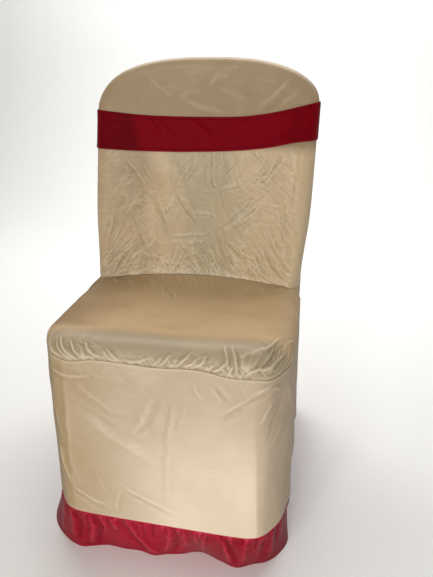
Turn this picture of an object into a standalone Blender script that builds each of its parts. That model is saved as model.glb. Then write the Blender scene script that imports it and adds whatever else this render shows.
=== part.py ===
"""Fitted satin chair cover with a sash, cut for an armless moulded chair.

Metres, +Z up, the face of the back towards -Y. Shapes are worked out above the floor line of the
hem and then moved, so that the origin is the point where the top of the chair's back carries the
cover. Each cut piece is one cloth sheet: a grid laid on a shape function, folded, and thickened
inwards with Solidify. The chair itself is left out, so the cover is hollow.
"""
import math

import bmesh
import bpy
import numpy as np

# ---- Driving sizes ---------------------------------------------------------------------------
COVER_NAME = "chair_cover_with_sash"
CLOTH = 0.0012            # thickness of the satin with its turned seams
SEAM_GAP = 0.0004         # clear gap between two sewn edges
FOOT_GAP = 0.0006         # the same at the foot of the back, measured on the slope
OVERALL_HEIGHT = 0.868
SHOULDER_HEIGHT = 0.755   # where the arched top of the back begins
BACK_HALF_WIDTH = 0.245
ARCH_POWER = 2.5          # squareness of the arched top
BACK_ROUND = 0.035        # inset over which the edges of the back roll round
BACK_ROUND_POWER = 3.0
SEAT_ROUND = 0.050        # inset over which the seat edge rolls down
SEAT_ROUND_POWER = 2.4
SIDE_SEAM_Y = 0.235       # upright seam on each side, below the seat
SIDE_SEAM_HEIGHT = 0.401  # top of the skirt beside the back
SIDE_SEAM_ROUND = 0.03    # folds fade out over this distance from the upright seams
SKIRT_TOP_FRONT = 0.379   # level that the top of the skirt rises from at the front
BORDER_HEIGHT = 0.0855
SEAT_FRONT_HEIGHT = 0.432
SEAT_REAR_HEIGHT = 0.412
SEAT_RISE = 0.013         # the seat climbs to the middle of the back's foot
SEAT_DISH = 0.010
SEAT_DEPTH = 0.36
SEAT_CLIMB_START = 0.72   # share of the depth where that climb starts
SKIRT_SKEW = 0.050        # the right front corner stands further forward than the left
SEAT_END_Y = 0.02         # behind here the skirt drops below the thickness of the seat's end
SEAT_END_RUN = 0.05
SKEW_START_Y = -0.10      # the skew grows forward from here
SKEW_RUN = 0.12
FACING_Y = -0.17          # cloth further forward than this faces the front
FACING_RUN = 0.04
ARCH_SHIFT = 0.005        # the arched top sits this far to the right
ARCH_SHIFT_RUN = 0.06     # height over which it gets there
SASH_CLEARANCE = 0.0013   # sash cloth over the cloth of the back
SASH_HEIGHT = 0.72        # middle of the sash, where the face lies smooth under it
SASH_HALF_WIDTH = 0.045
SMOOTH_RUN = 0.02         # folds fade out over this distance towards the sash
HANG_START = 0.60         # the rear starts to fall in folds below this height
HANG_RUN = 0.45
HEM_CURVE = 1.4           # power of the border's lean over its height: upright at the seam

# Level sections of the back, above the hem's floor line.
BACK_COLUMNS = ("height", "half_width", "face_y", "seam_y", "rear_y", "hollow")
BACK_SECTIONS = np.array((
    (BORDER_HEIGHT, 0.2316, 0.0750, SIDE_SEAM_Y, 0.282, 0.030),
    (0.3860, 0.2286, 0.0750, SIDE_SEAM_Y, 0.276, 0.030),
    (0.4160, 0.2286, 0.0848, SIDE_SEAM_Y, 0.275, 0.030),
    (0.5460, 0.2402, 0.1370, 0.238, 0.276, 0.019),
    (0.6760, 0.2436, 0.1900, 0.246, 0.282, 0.006),
    (SHOULDER_HEIGHT, BACK_HALF_WIDTH, 0.2237, 0.255, 0.288, 0.000),
    (OVERALL_HEIGHT, BACK_HALF_WIDTH, 0.2390, 0.262, 0.290, 0.000),
))

# Skirt outline at two levels: one half of the plan, the other half is mirrored.
SKIRT_TOP_PLAN = {"front_y": -0.230, "corner_x": 0.1755, "corner_y": -0.201, "side_x": 0.2217}
BORDER_TOP_PLAN = {"front_y": -0.2555, "corner_x": 0.1680, "corner_y": -0.2310, "side_x": 0.2225}

# The seam between seat and skirt wanders along the front.
SEAM_COLUMNS = ("x", "rise")
SEAM_RISES = np.array((
    (-0.230, 0.006),
    (-0.180, 0.016),
    (-0.152, 0.011),
    (-0.106, 0.017),
    (-0.060, 0.015),
    (-0.010, 0.012),
    (0.080, 0.012),
    (0.118, 0.004),
    (0.160, 0.003),
    (0.200, -0.003),
    (0.230, 0.000),
))

# Sash edges across the face of the back; behind, the edges run straight between the two ends.
SASH_COLUMNS = ("x", "lower", "upper")
SASH_EDGES = np.array((
    (-0.245, 0.681, 0.761),
    (-0.140, 0.677, 0.751),
    (0.000, 0.6775, 0.748),
    (0.090, 0.682, 0.750),
    (0.150, 0.689, 0.758),
    (0.200, 0.699, 0.769),
    (0.245, 0.704, 0.780),
))

# How far the hem leans out (+) or in (-) of the border seam, by the distance along the seam from
# the middle of the front, to the right positive; then its waves.
HEM_COLUMNS = ("along", "lean")
HEM_LEAN = np.array((
    (-1.02, 0.010), (-0.75, 0.010), (-0.50, 0.018), (-0.31, 0.024), (-0.26, 0.0225), (-0.22, 0.0155),
    (-0.19, 0.007), (-0.14, -0.002), (-0.05, -0.0115), (0.06, -0.017), (0.14, -0.019), (0.18, -0.0175),
    (0.215, -0.006), (0.26, 0.0035), (0.36, 0.002), (0.60, -0.004), (0.75, 0.004), (1.02, 0.010),
))
# Waves: along, width, push.
HEM_WAVES = (
    (-0.355, 0.022, 0.005), (-0.305, 0.018, -0.004), (-0.155, 0.014, 0.003), (-0.108, 0.022, -0.005),
    (-0.018, 0.018, 0.007), (0.066, 0.030, -0.014), (0.136, 0.020, 0.008), (0.185, 0.014, -0.002),
    (0.270, 0.020, 0.003), (0.330, 0.022, -0.005), (0.385, 0.028, 0.005),
    (0.450, 0.024, -0.005), (0.530, 0.030, 0.004), (0.610, 0.024, -0.005), (0.700, 0.030, 0.004),
    (0.790, 0.028, -0.006), (0.880, 0.032, 0.008), (0.975, 0.028, -0.006), (-0.950, 0.030, 0.008),
    (-0.860, 0.026, -0.006), (-0.770, 0.030, 0.008), (-0.680, 0.024, -0.006), (-0.600, 0.030, 0.007),
    (-0.510, 0.026, -0.006), (-0.430, 0.030, 0.006),
)

# Folds, as soft ridges (+) or troughs (-) along a straight line seen square on to the panel:
# x start, rise start, x end, rise end, width, height. On the seat, rise is y.
FACE_FOLDS = (
    (-0.049, 0.590, -0.006, 0.529, 0.016, -0.004),
    (-0.117, 0.826, -0.055, 0.784, 0.016, 0.002),
    (-0.055, 0.784, 0.072, 0.770, 0.016, 0.002),
    (0.172, 0.829, 0.114, 0.779, 0.018, 0.002),
    (0.190, 0.440, 0.130, 0.560, 0.022, 0.003),
    (-0.190, 0.440, -0.120, 0.540, 0.022, 0.003),
)
SEAT_FOLDS = (
    (-0.124, -0.036, -0.021, -0.085, 0.016, -0.003),
    (-0.021, -0.085, 0.117, -0.072, 0.016, -0.003),
    (-0.150, 0.060, -0.110, -0.020, 0.018, 0.002),
    (0.150, 0.060, 0.120, -0.020, 0.018, 0.002),
)
SKIRT_FRONT_FOLDS = (
    (0.018, 0.350, 0.016, 0.100, 0.016, 0.004),
    (-0.011, 0.345, -0.035, 0.250, 0.016, 0.004),
    (-0.150, 0.330, 0.013, 0.233, 0.022, -0.005),
    (-0.186, 0.150, -0.089, 0.100, 0.020, -0.006),
    (-0.077, 0.163, 0.038, 0.112, 0.016, 0.004),
    (-0.157, 0.353, -0.161, 0.100, 0.014, 0.004),
    (0.160, 0.350, 0.165, 0.100, 0.014, 0.005),
    (0.185, 0.372, 0.210, 0.345, 0.020, 0.006),
)
# Upright folds of the sides and the rear: place across the panel, width, push at the border.
SIDE_FOLDS = (
    (-0.160, 0.022, 0.005), (-0.100, 0.024, -0.006), (-0.040, 0.026, 0.007), (0.030, 0.026, -0.006),
    (0.095, 0.028, 0.006), (0.165, 0.024, -0.005),
)
REAR_FOLDS = (
    (-0.160, 0.026, 0.008), (-0.095, 0.026, -0.006), (-0.030, 0.030, 0.007), (0.040, 0.026, -0.006),
    (0.105, 0.028, 0.008), (0.170, 0.024, -0.005),
)

# Grid counts: columns run from the middle to a side seam and are shared by neighbouring pieces.
FLAT_COLUMNS = 22         # across the flat of the back
ROUND_COLUMNS = 6         # round the edge of the back to the side seam
SEAT_END_COLUMN = 24      # last column that reaches the seat
SEAT_END_STATION = 0.74   # where that column lands on the skirt's outline, 0 front to 1 side seam
FACE_ROWS = 10
REAR_ROWS = 8
ROUND_ROWS = 4
SEAT_ROWS = 6
SEAT_ROUND_ROWS = 4
SKIRT_ROWS = 8
BORDER_STEPS = 148
BORDER_ROWS = 4
SASH_ROWS = 3
OUTLINE_STEPS = 300       # points read along the skirt's outline
MOST_EDGE_SHARE = 0.6     # of a seat column, for its rolled edge
SKIRT_EDGE_SHARE = 0.08   # of the skirt's height, for folds to fade out at its seams
SEAT_ENDING = 4.0         # columns over which the seat flattens to its ends

ORIGIN = np.array((0.0, 0.262, OVERALL_HEIGHT - CLOTH))

# ---- Materials: name, base colour, roughness ---------------------------------------------------
CHAMPAGNE = ((0.61, 0.46, 0.29, 1.0), 0.38)
MAROON = ((0.24, 0.004, 0.016, 1.0), 0.42)


# ---- Small tools -------------------------------------------------------------------------------
def smooth(value):
    """Ease from 0 to 1."""
    value = np.clip(value, 0.0, 1.0)
    return value * value * (3.0 - 2.0 * value)


def through(keys, values, at):
    """Smooth curve through the table's points, level beyond its ends (cubic Hermite)."""
    slopes = np.gradient(values, keys)
    at = np.clip(at, keys[0], keys[-1])
    low = np.clip(np.searchsorted(keys, at, side="right") - 1, 0, len(keys) - 2)
    step = keys[low + 1] - keys[low]
    t = (at - keys[low]) / step
    start = (2 * t**3 - 3 * t**2 + 1) * values[low] + (t**3 - 2 * t**2 + t) * step * slopes[low]
    end = (3 * t**2 - 2 * t**3) * values[low + 1] + (t**3 - t**2) * step * slopes[low + 1]
    return start + end


def read(table, names, column, at):
    """One named column of a table, at any place of its first column."""
    return through(table[:, 0], table[:, names.index(column)], at)


def back_size(column, height):
    """One size of the back at any height."""
    return read(BACK_SECTIONS, BACK_COLUMNS, column, height)


def soft_outline(points, station):
    """Quadratic B-spline from the first to the last control point, station 0 to 1."""
    spans = len(points) - 2
    place = np.clip(station, 0.0, 1.0) * spans
    span = np.minimum(place.astype(int), spans - 1)
    t = (place - span)[..., None]
    middles = (points[:-1] + points[1:]) / 2.0
    start = np.where((span == 0)[..., None], points[0], middles[span])
    end = np.where((span == spans - 1)[..., None], points[-1], middles[span + 1])
    return start * (1 - t)**2 + 2 * points[span + 1] * t * (1 - t) + end * t**2


def round_over(inset, reach, power):
    """0 on an edge, 1 from the given reach inwards: the profile of a rolled edge."""
    left = 1.0 - np.clip(inset / reach, 0.0, 1.0)
    return (1.0 - left**power)**(1.0 / power)


def normals(points, closed=False):
    """Unit normals of a grid of points: columns crossed with rows, so inwards where rows run down."""
    if closed:
        along = np.roll(points, -1, axis=0) - np.roll(points, 1, axis=0)
    else:
        along = np.gradient(points, axis=0)
    across = np.gradient(points, axis=1)
    normal = np.cross(along, across)
    return normal / np.maximum(np.linalg.norm(normal, axis=-1, keepdims=True), 1e-12)


def fold_push(first, second, folds):
    """Sum of soft ridges and troughs, each a bell across its own straight line."""
    push = np.zeros(np.shape(first))
    for x_start, rise_start, x_end, rise_end, width, height in folds:
        run = np.array((x_end - x_start, rise_end - rise_start))
        t = ((first - x_start) * run[0] + (second - rise_start) * run[1]) / (run @ run)
        t = np.clip(t, 0.0, 1.0)
        away = np.hypot(first - x_start - t * run[0], second - rise_start - t * run[1])
        push += height * np.exp(-(away / width)**2)
    return push


def bell_push(along, bells):
    """Sum of bells by the place along a seam: place, width, push."""
    push = np.zeros(np.shape(along))
    for place, width, bell_height in bells:
        push += bell_height * np.exp(-((along - place) / width)**2)
    return push


def length_along(line):
    """Distance from the first point to each point of a line."""
    steps = np.linalg.norm(np.diff(line, axis=0), axis=1)
    return np.concatenate(((0.0,), np.cumsum(steps)))


# ---- Shape of the back -------------------------------------------------------------------------
def arch_height(nominal_x):
    """Top edge of the back over each place across the shoulders."""
    across = np.clip(np.abs(nominal_x) / BACK_HALF_WIDTH, 0.0, 1.0)
    rise = OVERALL_HEIGHT - SHOULDER_HEIGHT
    return SHOULDER_HEIGHT + rise * (1.0 - across**ARCH_POWER)**(1.0 / ARCH_POWER)


def outline_half_width(height):
    """Half width of the back's front view at any height, arch included."""
    rise = np.clip((height - SHOULDER_HEIGHT) / (OVERALL_HEIGHT - SHOULDER_HEIGHT), 0.0, 1.0)
    below = back_size("half_width", np.minimum(height, SHOULDER_HEIGHT))
    return below * (1.0 - rise**ARCH_POWER)**(1.0 / ARCH_POWER)


def back_inset(x, height):
    """Distance of a point inside the front view of the back from its outline."""
    half = back_size("half_width", np.minimum(height, SHOULDER_HEIGHT))
    arch = OVERALL_HEIGHT - SHOULDER_HEIGHT
    rise = np.clip((height - SHOULDER_HEIGHT) / arch, 0.0, None)
    across = np.abs(x) / half
    radius = np.maximum((across**ARCH_POWER + rise**ARCH_POWER)**(1.0 / ARCH_POWER), 1e-6)
    slope_x = (across / radius)**(ARCH_POWER - 1.0) / half
    slope_z = (rise / radius)**(ARCH_POWER - 1.0) / arch
    return np.maximum((1.0 - radius) / np.maximum(np.hypot(slope_x, slope_z), 1e-6), 0.0)


def face_depth(x, height):
    """Y of the cover's face: leaning back, hollow across, rolled round to the seam."""
    rolled = round_over(back_inset(x, height), BACK_ROUND, BACK_ROUND_POWER)
    across = np.clip(np.abs(x) / back_size("half_width", height), 0.0, 1.0)
    face = back_size("face_y", height) + back_size("hollow", height) * (1.0 - across**2)
    seam = back_size("seam_y", height)
    return seam - (seam - face) * rolled


def rear_depth(x, height):
    """Y of the cover's rear, rolled round to the same seam."""
    rolled = round_over(back_inset(x, height), BACK_ROUND, BACK_ROUND_POWER)
    seam = back_size("seam_y", height)
    return seam + (back_size("rear_y", height) - seam) * rolled


def back_column_places():
    """Nominal x of every column, from the left side seam to the right one."""
    flat = np.arange(FLAT_COLUMNS) / FLAT_COLUMNS * (BACK_HALF_WIDTH - BACK_ROUND)
    turn = np.linspace(0.0, math.pi / 2.0, ROUND_COLUMNS + 1)
    rolled = BACK_HALF_WIDTH - BACK_ROUND + BACK_ROUND * np.sin(turn)**(2.0 / BACK_ROUND_POWER)
    half = np.concatenate((flat, rolled))
    return np.concatenate((-half[:0:-1], half))


def rolled_rows(straight_rows, round_rows, power):
    """Row places: share of the straight run, then share of the rolled edge."""
    straight = np.concatenate((np.linspace(0.0, 1.0, straight_rows + 1), np.ones(round_rows)))
    turn = np.linspace(0.0, math.pi / 2.0, round_rows + 1)[1:]
    rolled = np.concatenate((np.zeros(straight_rows + 1), np.sin(turn)**(2.0 / power)))
    return straight, rolled


def back_grid(foot_height, straight_rows):
    """X and height of a back panel's grid, from its foot to the arched seam."""
    nominal = back_column_places()[:, None]
    straight, rolled = rolled_rows(straight_rows, ROUND_ROWS, BACK_ROUND_POWER)
    top = arch_height(nominal)
    height = foot_height + (top - BACK_ROUND - foot_height) * straight + BACK_ROUND * rolled
    half = back_size("half_width", np.minimum(height, SHOULDER_HEIGHT))
    return nominal / BACK_HALF_WIDTH * half, height


def arch_shift(height):
    """Sideways shift of the back above its shoulders."""
    return ARCH_SHIFT * smooth((height - SHOULDER_HEIGHT) / ARCH_SHIFT_RUN)


# ---- Shape of the seat and skirt ---------------------------------------------------------------
def plan_outline(plan, front_height, side_height, rear_x):
    """Control points of half the skirt's outline at one level, front middle to side seam."""
    front_y = plan["front_y"]
    corner_x = plan["corner_x"]
    corner_y = plan["corner_y"]
    side_x = plan["side_x"]
    rows = (                     # x, y, share of the way from front height to side height
        (0.0, front_y, 0.0),
        (0.35 * corner_x, front_y, 0.0),
        (0.70 * corner_x, front_y, 0.0),
        (corner_x, front_y + 0.002, 0.0),
        (corner_x + 0.45 * (side_x - corner_x), corner_y - 0.004, 0.1),
        (side_x, corner_y + 0.045, 0.2),
        (side_x + 0.001, -0.10, 0.5),
        (0.6 * side_x + 0.4 * rear_x, 0.0, 0.8),
        (rear_x + 0.001, 0.09, 1.0),
        (rear_x, 0.13, 1.0),
        (rear_x, 0.18, 1.0),
        (rear_x, SIDE_SEAM_Y, 1.0),
    )
    points = np.array(rows)
    points[:, 2] = front_height + (side_height - front_height) * points[:, 2]
    return points


def mirrored(points, station):
    """Point of the outline for station -1 to 1, left to right."""
    found = soft_outline(points, np.abs(station))
    found[..., 0] *= np.where(station < 0.0, -1.0, 1.0)
    return found


def skirt_top_points():
    """Control points of half the seat seam, before it wanders along the front."""
    side_x = float(back_size("half_width", SIDE_SEAM_HEIGHT))
    return plan_outline(SKIRT_TOP_PLAN, SKIRT_TOP_FRONT, SIDE_SEAM_HEIGHT, side_x)


def border_top_points():
    """Control points of half the border seam."""
    side_x = float(back_size("half_width", BORDER_HEIGHT))
    return plan_outline(BORDER_TOP_PLAN, BORDER_HEIGHT, BORDER_HEIGHT, side_x)


def seam_rise(x, y):
    """Rise of the seat seam along the front, fading out round the corners."""
    return read(SEAM_RISES, SEAM_COLUMNS, "rise", x) * smooth((FACING_Y + FACING_RUN - y) / FACING_RUN)


def seat_seam(stations):
    """Seat seam for stations -1 to 1, left to right."""
    seam = mirrored(skirt_top_points(), stations)
    seam[..., 2] += seam_rise(seam[..., 0], seam[..., 1])
    return seam


def seam_distance(x, y):
    """Distance in plan from the seat seam, and the seam's height at the nearest place."""
    line = soft_outline(skirt_top_points(), np.linspace(0.0, 1.0, OUTLINE_STEPS))
    rise = seam_rise(x, y)
    start = line[:-1]
    run = line[1:] - start
    x = np.abs(np.asarray(x, float))[..., None]
    y = np.asarray(y, float)[..., None]
    t = ((x - start[:, 0]) * run[:, 0] + (y - start[:, 1]) * run[:, 1])
    t = np.clip(t / (run[:, 0]**2 + run[:, 1]**2), 0.0, 1.0)
    away = np.hypot(x - start[:, 0] - t * run[:, 0], y - start[:, 1] - t * run[:, 1])
    nearest = np.argmin(away, axis=-1)
    height = start[nearest, 2] + np.take_along_axis(t, nearest[..., None], -1)[..., 0] * run[nearest, 2]
    return np.min(away, axis=-1), height + rise


def seat_surface(x, y):
    """Height of the seat's top before its edges roll down."""
    back = np.clip((y - SKIRT_TOP_PLAN["front_y"]) / SEAT_DEPTH, 0.0, 1.0)
    across = np.clip(np.abs(x) / BACK_HALF_WIDTH, 0.0, 1.0)
    level = SEAT_FRONT_HEIGHT + (SEAT_REAR_HEIGHT - SEAT_FRONT_HEIGHT) * back
    dish = SEAT_DISH * np.sin(math.pi * back) * (1.0 - across**2)
    climb = smooth((back - SEAT_CLIMB_START) / (1.0 - SEAT_CLIMB_START))
    return level - dish + SEAT_RISE * climb * (1.0 - across**2)


def seat_height(x, y):
    """Height of the seat with its rolled edge."""
    inset, seam = seam_distance(x, y)
    return seam + (seat_surface(x, y) - seam) * round_over(inset, SEAT_ROUND, SEAT_ROUND_POWER)


def back_foot():
    """Line where the face of the back meets the seat, one point a column."""
    nominal = back_column_places()
    height = np.full(nominal.shape, SEAT_REAR_HEIGHT)
    for _ in range(8):
        x = nominal / BACK_HALF_WIDTH * back_size("half_width", height)
        y = face_depth(x, height)
        height = seat_height(x, y)
    return np.stack((x, y, height), axis=-1)


# ---- Cut pieces --------------------------------------------------------------------------------
def face_piece():
    """Face of the back, wrapped round the sides and over the arch to the seam."""
    foot = back_foot()
    x, height = back_grid(foot[:, 2:3], FACE_ROWS)
    points = np.stack((x, face_depth(x, height), height), axis=-1)
    points[:, 0] = foot
    clear = np.minimum(height - foot[:, 2:3], back_inset(x, height))
    push = fold_push(x, height, FACE_FOLDS) * smooth(clear / 0.03)
    beside_sash = smooth((np.abs(height - SASH_HEIGHT) - SASH_HALF_WIDTH) / SMOOTH_RUN)
    points += normals(points) * (push * beside_sash)[..., None]
    points[..., 0] += arch_shift(height)
    points[..., 1] -= SEAM_GAP / 2.0 * (points[..., 1] > back_size("seam_y", height) - 0.003)
    return points


def rear_piece():
    """Rear of the cover, from the border seam to the arched seam."""
    x, height = back_grid(BORDER_HEIGHT + SEAM_GAP, REAR_ROWS)
    points = np.stack((x, rear_depth(x, height), height), axis=-1)
    hang = smooth((HANG_START - height) / HANG_RUN) * smooth(back_inset(x, height) / SIDE_SEAM_ROUND)
    points[..., 0] += arch_shift(height)
    points[..., 1] += bell_push(x, REAR_FOLDS) * hang + SEAM_GAP / 2.0
    return points


def seat_piece():
    """Seat, from the skirt seam up over the rolled edge and back to the foot of the face."""
    columns = np.arange(-SEAT_END_COLUMN, SEAT_END_COLUMN + 1)
    outer = seat_seam(columns / SEAT_END_COLUMN * SEAT_END_STATION)
    middle = FLAT_COLUMNS + ROUND_COLUMNS
    inner = back_foot()[middle - SEAT_END_COLUMN:middle + SEAT_END_COLUMN + 1]
    run = inner - outer
    reach = np.linalg.norm(run[:, :2], axis=1)
    inner = outer + run * ((reach - FOOT_GAP) / reach)[:, None]
    run = inner - outer
    edge_share = np.minimum(SEAT_ROUND / reach, MOST_EDGE_SHARE)[:, None]
    turn = np.linspace(0.0, math.pi / 2.0, SEAT_ROUND_ROWS + 1)
    rolled = 1.0 - np.cos(turn)**(2.0 / SEAT_ROUND_POWER)
    flat = np.linspace(0.0, 1.0, SEAT_ROWS + 1)[1:]
    share = np.concatenate((edge_share * rolled, edge_share + (1.0 - edge_share) * flat), axis=1)
    points = outer[:, None] + run[:, None] * share[..., None]
    straight = points[..., 2].copy()
    points[..., 2] = seat_height(points[..., 0], points[..., 1])
    ending = smooth((np.abs(columns) - SEAT_END_COLUMN + SEAT_ENDING) / SEAT_ENDING)[:, None]
    points[..., 2] += (straight - points[..., 2]) * ending
    points[:, 0, 2] = outer[:, 2]
    points[:, -1, 2] = inner[:, 2]
    clear = np.minimum(share, 1.0 - share) * reach[:, None]
    points[..., 2] += fold_push(points[..., 0], points[..., 1], SEAT_FOLDS) * smooth(clear / SEAT_ROUND)
    return points


def skirt_piece():
    """Front and both sides of the skirt, from the seat seam and the foot of the back to the border."""
    middle = FLAT_COLUMNS + ROUND_COLUMNS
    columns = np.arange(-SEAT_END_COLUMN, SEAT_END_COLUMN + 1)
    stations = columns / SEAT_END_COLUMN * SEAT_END_STATION
    front = seat_seam(stations)
    foot = back_foot()
    line_stations = np.linspace(0.0, 1.0, OUTLINE_STEPS)
    line = soft_outline(skirt_top_points(), line_stations)
    beside = foot[middle + SEAT_END_COLUMN:]
    beside_stations = np.interp(beside[:, 1], line[:, 1], line_stations)
    beside_left = beside[::-1] * np.array((-1.0, 1.0, 1.0))
    top = np.concatenate((beside_left, front, beside))
    stations = np.concatenate((-beside_stations[::-1], stations, beside_stations))
    bottom = mirrored(border_top_points(), stations)
    bottom[:, 1] -= SKIRT_SKEW * bottom[:, 0] * smooth((SKEW_START_Y - bottom[:, 1]) / SKEW_RUN)
    beside_seat_end = smooth((top[:, 1] - SEAT_END_Y) / SEAT_END_RUN) * (top[:, 1] < beside[1, 1] - CLOTH)
    top[:, 2] -= SEAM_GAP + (CLOTH + SEAM_GAP) * beside_seat_end
    bottom[:, 2] += SEAM_GAP
    share = np.linspace(0.0, 1.0, SKIRT_ROWS + 1)[None, :, None]
    points = top[:, None] * (1.0 - share) + bottom[:, None] * share
    share = share[..., 0]
    clear = smooth(np.minimum(share, 1.0 - share) / SKIRT_EDGE_SHARE)
    facing = smooth((FACING_Y - points[..., 1]) / FACING_RUN)
    push = fold_push(points[..., 0], points[..., 2], SKIRT_FRONT_FOLDS) * facing * clear
    beside_seam = smooth((SIDE_SEAM_Y - points[..., 1]) / SIDE_SEAM_ROUND)
    push += bell_push(points[..., 1], SIDE_FOLDS) * (1.0 - facing) * beside_seam * share * clear
    points -= normals(points) * push[..., None]
    points[..., 1] -= SEAM_GAP / 2.0 * (points[..., 1] > SIDE_SEAM_Y - 0.003)
    return points


def border_piece():
    """Border round the whole hem, sewn to the skirt and the rear, standing in waves on the floor."""
    skirt_edge = skirt_piece()[:, -1]
    rear_edge = rear_piece()[::-1, 0]
    ring = np.concatenate((skirt_edge, rear_edge[1:-1], skirt_edge[:1]))
    ring[:, 2] = BORDER_HEIGHT - SEAM_GAP / 2.0
    along = length_along(ring)
    front_middle = along[len(skirt_edge) // 2]
    steps = np.arange(BORDER_STEPS) / BORDER_STEPS * along[-1]
    top = np.stack([np.interp(steps, along, ring[:, axis]) for axis in range(3)], axis=-1)
    place = steps - front_middle
    place = (place + along[-1] / 2.0) % along[-1] - along[-1] / 2.0
    tangent = np.roll(top, -1, axis=0) - np.roll(top, 1, axis=0)
    outward = np.stack((tangent[:, 1], -tangent[:, 0], np.zeros(BORDER_STEPS)), axis=-1)
    outward /= np.linalg.norm(outward, axis=1, keepdims=True)
    lean = read(HEM_LEAN, HEM_COLUMNS, "lean", place) + bell_push(place, HEM_WAVES)
    share = np.linspace(0.0, 1.0, BORDER_ROWS + 1)[None, :]
    push = lean[:, None] * share**HEM_CURVE
    points = top[:, None] + outward[:, None] * push[..., None]
    points[..., 2] = top[:, 2:3] * (1.0 - share)
    return points


def sash_piece():
    """Sash round the upper back, a little clear of the cloth that it lies on."""
    nominal = back_column_places()
    share = np.linspace(0.0, 1.0, SASH_ROWS + 1)[None, :]
    lower = read(SASH_EDGES, SASH_COLUMNS, "lower", nominal)[:, None]
    upper = read(SASH_EDGES, SASH_COLUMNS, "upper", nominal)[:, None]
    height = lower + (upper - lower) * share
    x = nominal[:, None] / BACK_HALF_WIDTH * outline_half_width(height)
    face = np.stack((x, face_depth(x, height), height), axis=-1)
    swing = (nominal[1:-1, None] + BACK_HALF_WIDTH) / (2.0 * BACK_HALF_WIDTH)
    lower = SASH_EDGES[0, 1] + (SASH_EDGES[-1, 1] - SASH_EDGES[0, 1]) * swing
    upper = SASH_EDGES[0, 2] + (SASH_EDGES[-1, 2] - SASH_EDGES[0, 2]) * swing
    height = lower + (upper - lower) * share
    x = nominal[1:-1, None] / BACK_HALF_WIDTH * outline_half_width(height)
    rear = np.stack((x, rear_depth(x, height), height), axis=-1)
    points = np.concatenate((face, rear[::-1]))
    points[..., 0] += arch_shift(points[..., 2])
    return points + normals(points, closed=True) * (CLOTH + SASH_CLEARANCE)


# ---- Building ----------------------------------------------------------------------------------
def clear_scene():
    """Start from an empty file."""
    for item in list(bpy.data.objects):
        bpy.data.objects.remove(item, do_unlink=True)


def satin(name, look):
    """Principled material of one piece."""
    material = bpy.data.materials.new(name)
    material.use_nodes = True
    shader = material.node_tree.nodes["Principled BSDF"]
    shader.inputs["Base Color"].default_value = look[0]
    shader.inputs["Roughness"].default_value = look[1]
    shader.inputs["Metallic"].default_value = 0.0
    material.diffuse_color = look[0]
    return material


def cloth_object(name, points, look, collection, closed=False):
    """Lay a grid on the points and thicken it inwards; the normals face out of the cover."""
    if closed:
        points = np.concatenate((points, points[:1]))
    columns, rows = points.shape[:2]
    mesh = bpy.data.meshes.new(name)
    shape = bmesh.new()
    bmesh.ops.create_grid(shape, x_segments=columns - 1, y_segments=rows - 1, size=0.5)
    for vertex in shape.verts:
        column = round((vertex.co.x + 0.5) * (columns - 1))
        row = round((vertex.co.y + 0.5) * (rows - 1))
        vertex.co = points[column, row] - ORIGIN
    if closed:
        bmesh.ops.remove_doubles(shape, verts=shape.verts, dist=1e-6)
    shape.to_mesh(mesh)
    shape.free()
    cloth = bpy.data.objects.new(name, mesh)
    cloth.data.materials.append(satin(name + "_satin", look))
    collection.objects.link(cloth)
    thicken = cloth.modifiers.new("thicken", "SOLIDIFY")
    thicken.thickness = CLOTH
    thicken.offset = -1.0
    return cloth


def build():
    """Make the six cut pieces."""
    clear_scene()
    collection = bpy.data.collections.new(COVER_NAME)
    bpy.context.scene.collection.children.link(collection)
    cloth_object("back_front_panel", face_piece(), CHAMPAGNE, collection)
    cloth_object("rear_panel", rear_piece()[::-1], CHAMPAGNE, collection)
    cloth_object("seat_panel", seat_piece(), CHAMPAGNE, collection)
    cloth_object("skirt_panel", skirt_piece()[:, ::-1], CHAMPAGNE, collection)
    cloth_object("hem_border", border_piece()[:, ::-1], MAROON, collection, closed=True)
    cloth_object("sash_band", sash_piece(), MAROON, collection, closed=True)


build()
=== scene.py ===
"""Looks of the fitted satin chair cover with a sash.

Each cut piece of the cover is worked out again on a fine grid, on the same level sections and
outlines as its solid, and then creased. Heights in the tables are above the floor line of the hem;
ORIGIN moves the finished meshes into the frame, whose origin is under the arched top.
"""
import math

import bpy
import numpy as np
from mathutils import Matrix, Vector


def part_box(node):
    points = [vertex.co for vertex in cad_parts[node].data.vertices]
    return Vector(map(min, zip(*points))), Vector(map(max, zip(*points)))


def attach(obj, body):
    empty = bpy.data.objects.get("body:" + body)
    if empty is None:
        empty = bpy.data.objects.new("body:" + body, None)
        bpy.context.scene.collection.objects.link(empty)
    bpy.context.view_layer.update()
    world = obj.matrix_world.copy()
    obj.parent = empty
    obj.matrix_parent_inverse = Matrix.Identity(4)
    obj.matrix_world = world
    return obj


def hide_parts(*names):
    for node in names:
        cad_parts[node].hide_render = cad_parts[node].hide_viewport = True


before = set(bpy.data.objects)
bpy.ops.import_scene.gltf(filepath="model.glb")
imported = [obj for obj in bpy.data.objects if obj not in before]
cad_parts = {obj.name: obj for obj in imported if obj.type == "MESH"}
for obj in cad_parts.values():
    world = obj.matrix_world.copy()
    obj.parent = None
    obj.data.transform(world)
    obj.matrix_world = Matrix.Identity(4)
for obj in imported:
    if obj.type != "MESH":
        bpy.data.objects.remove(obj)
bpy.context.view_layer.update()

MM = 0.001

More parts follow.
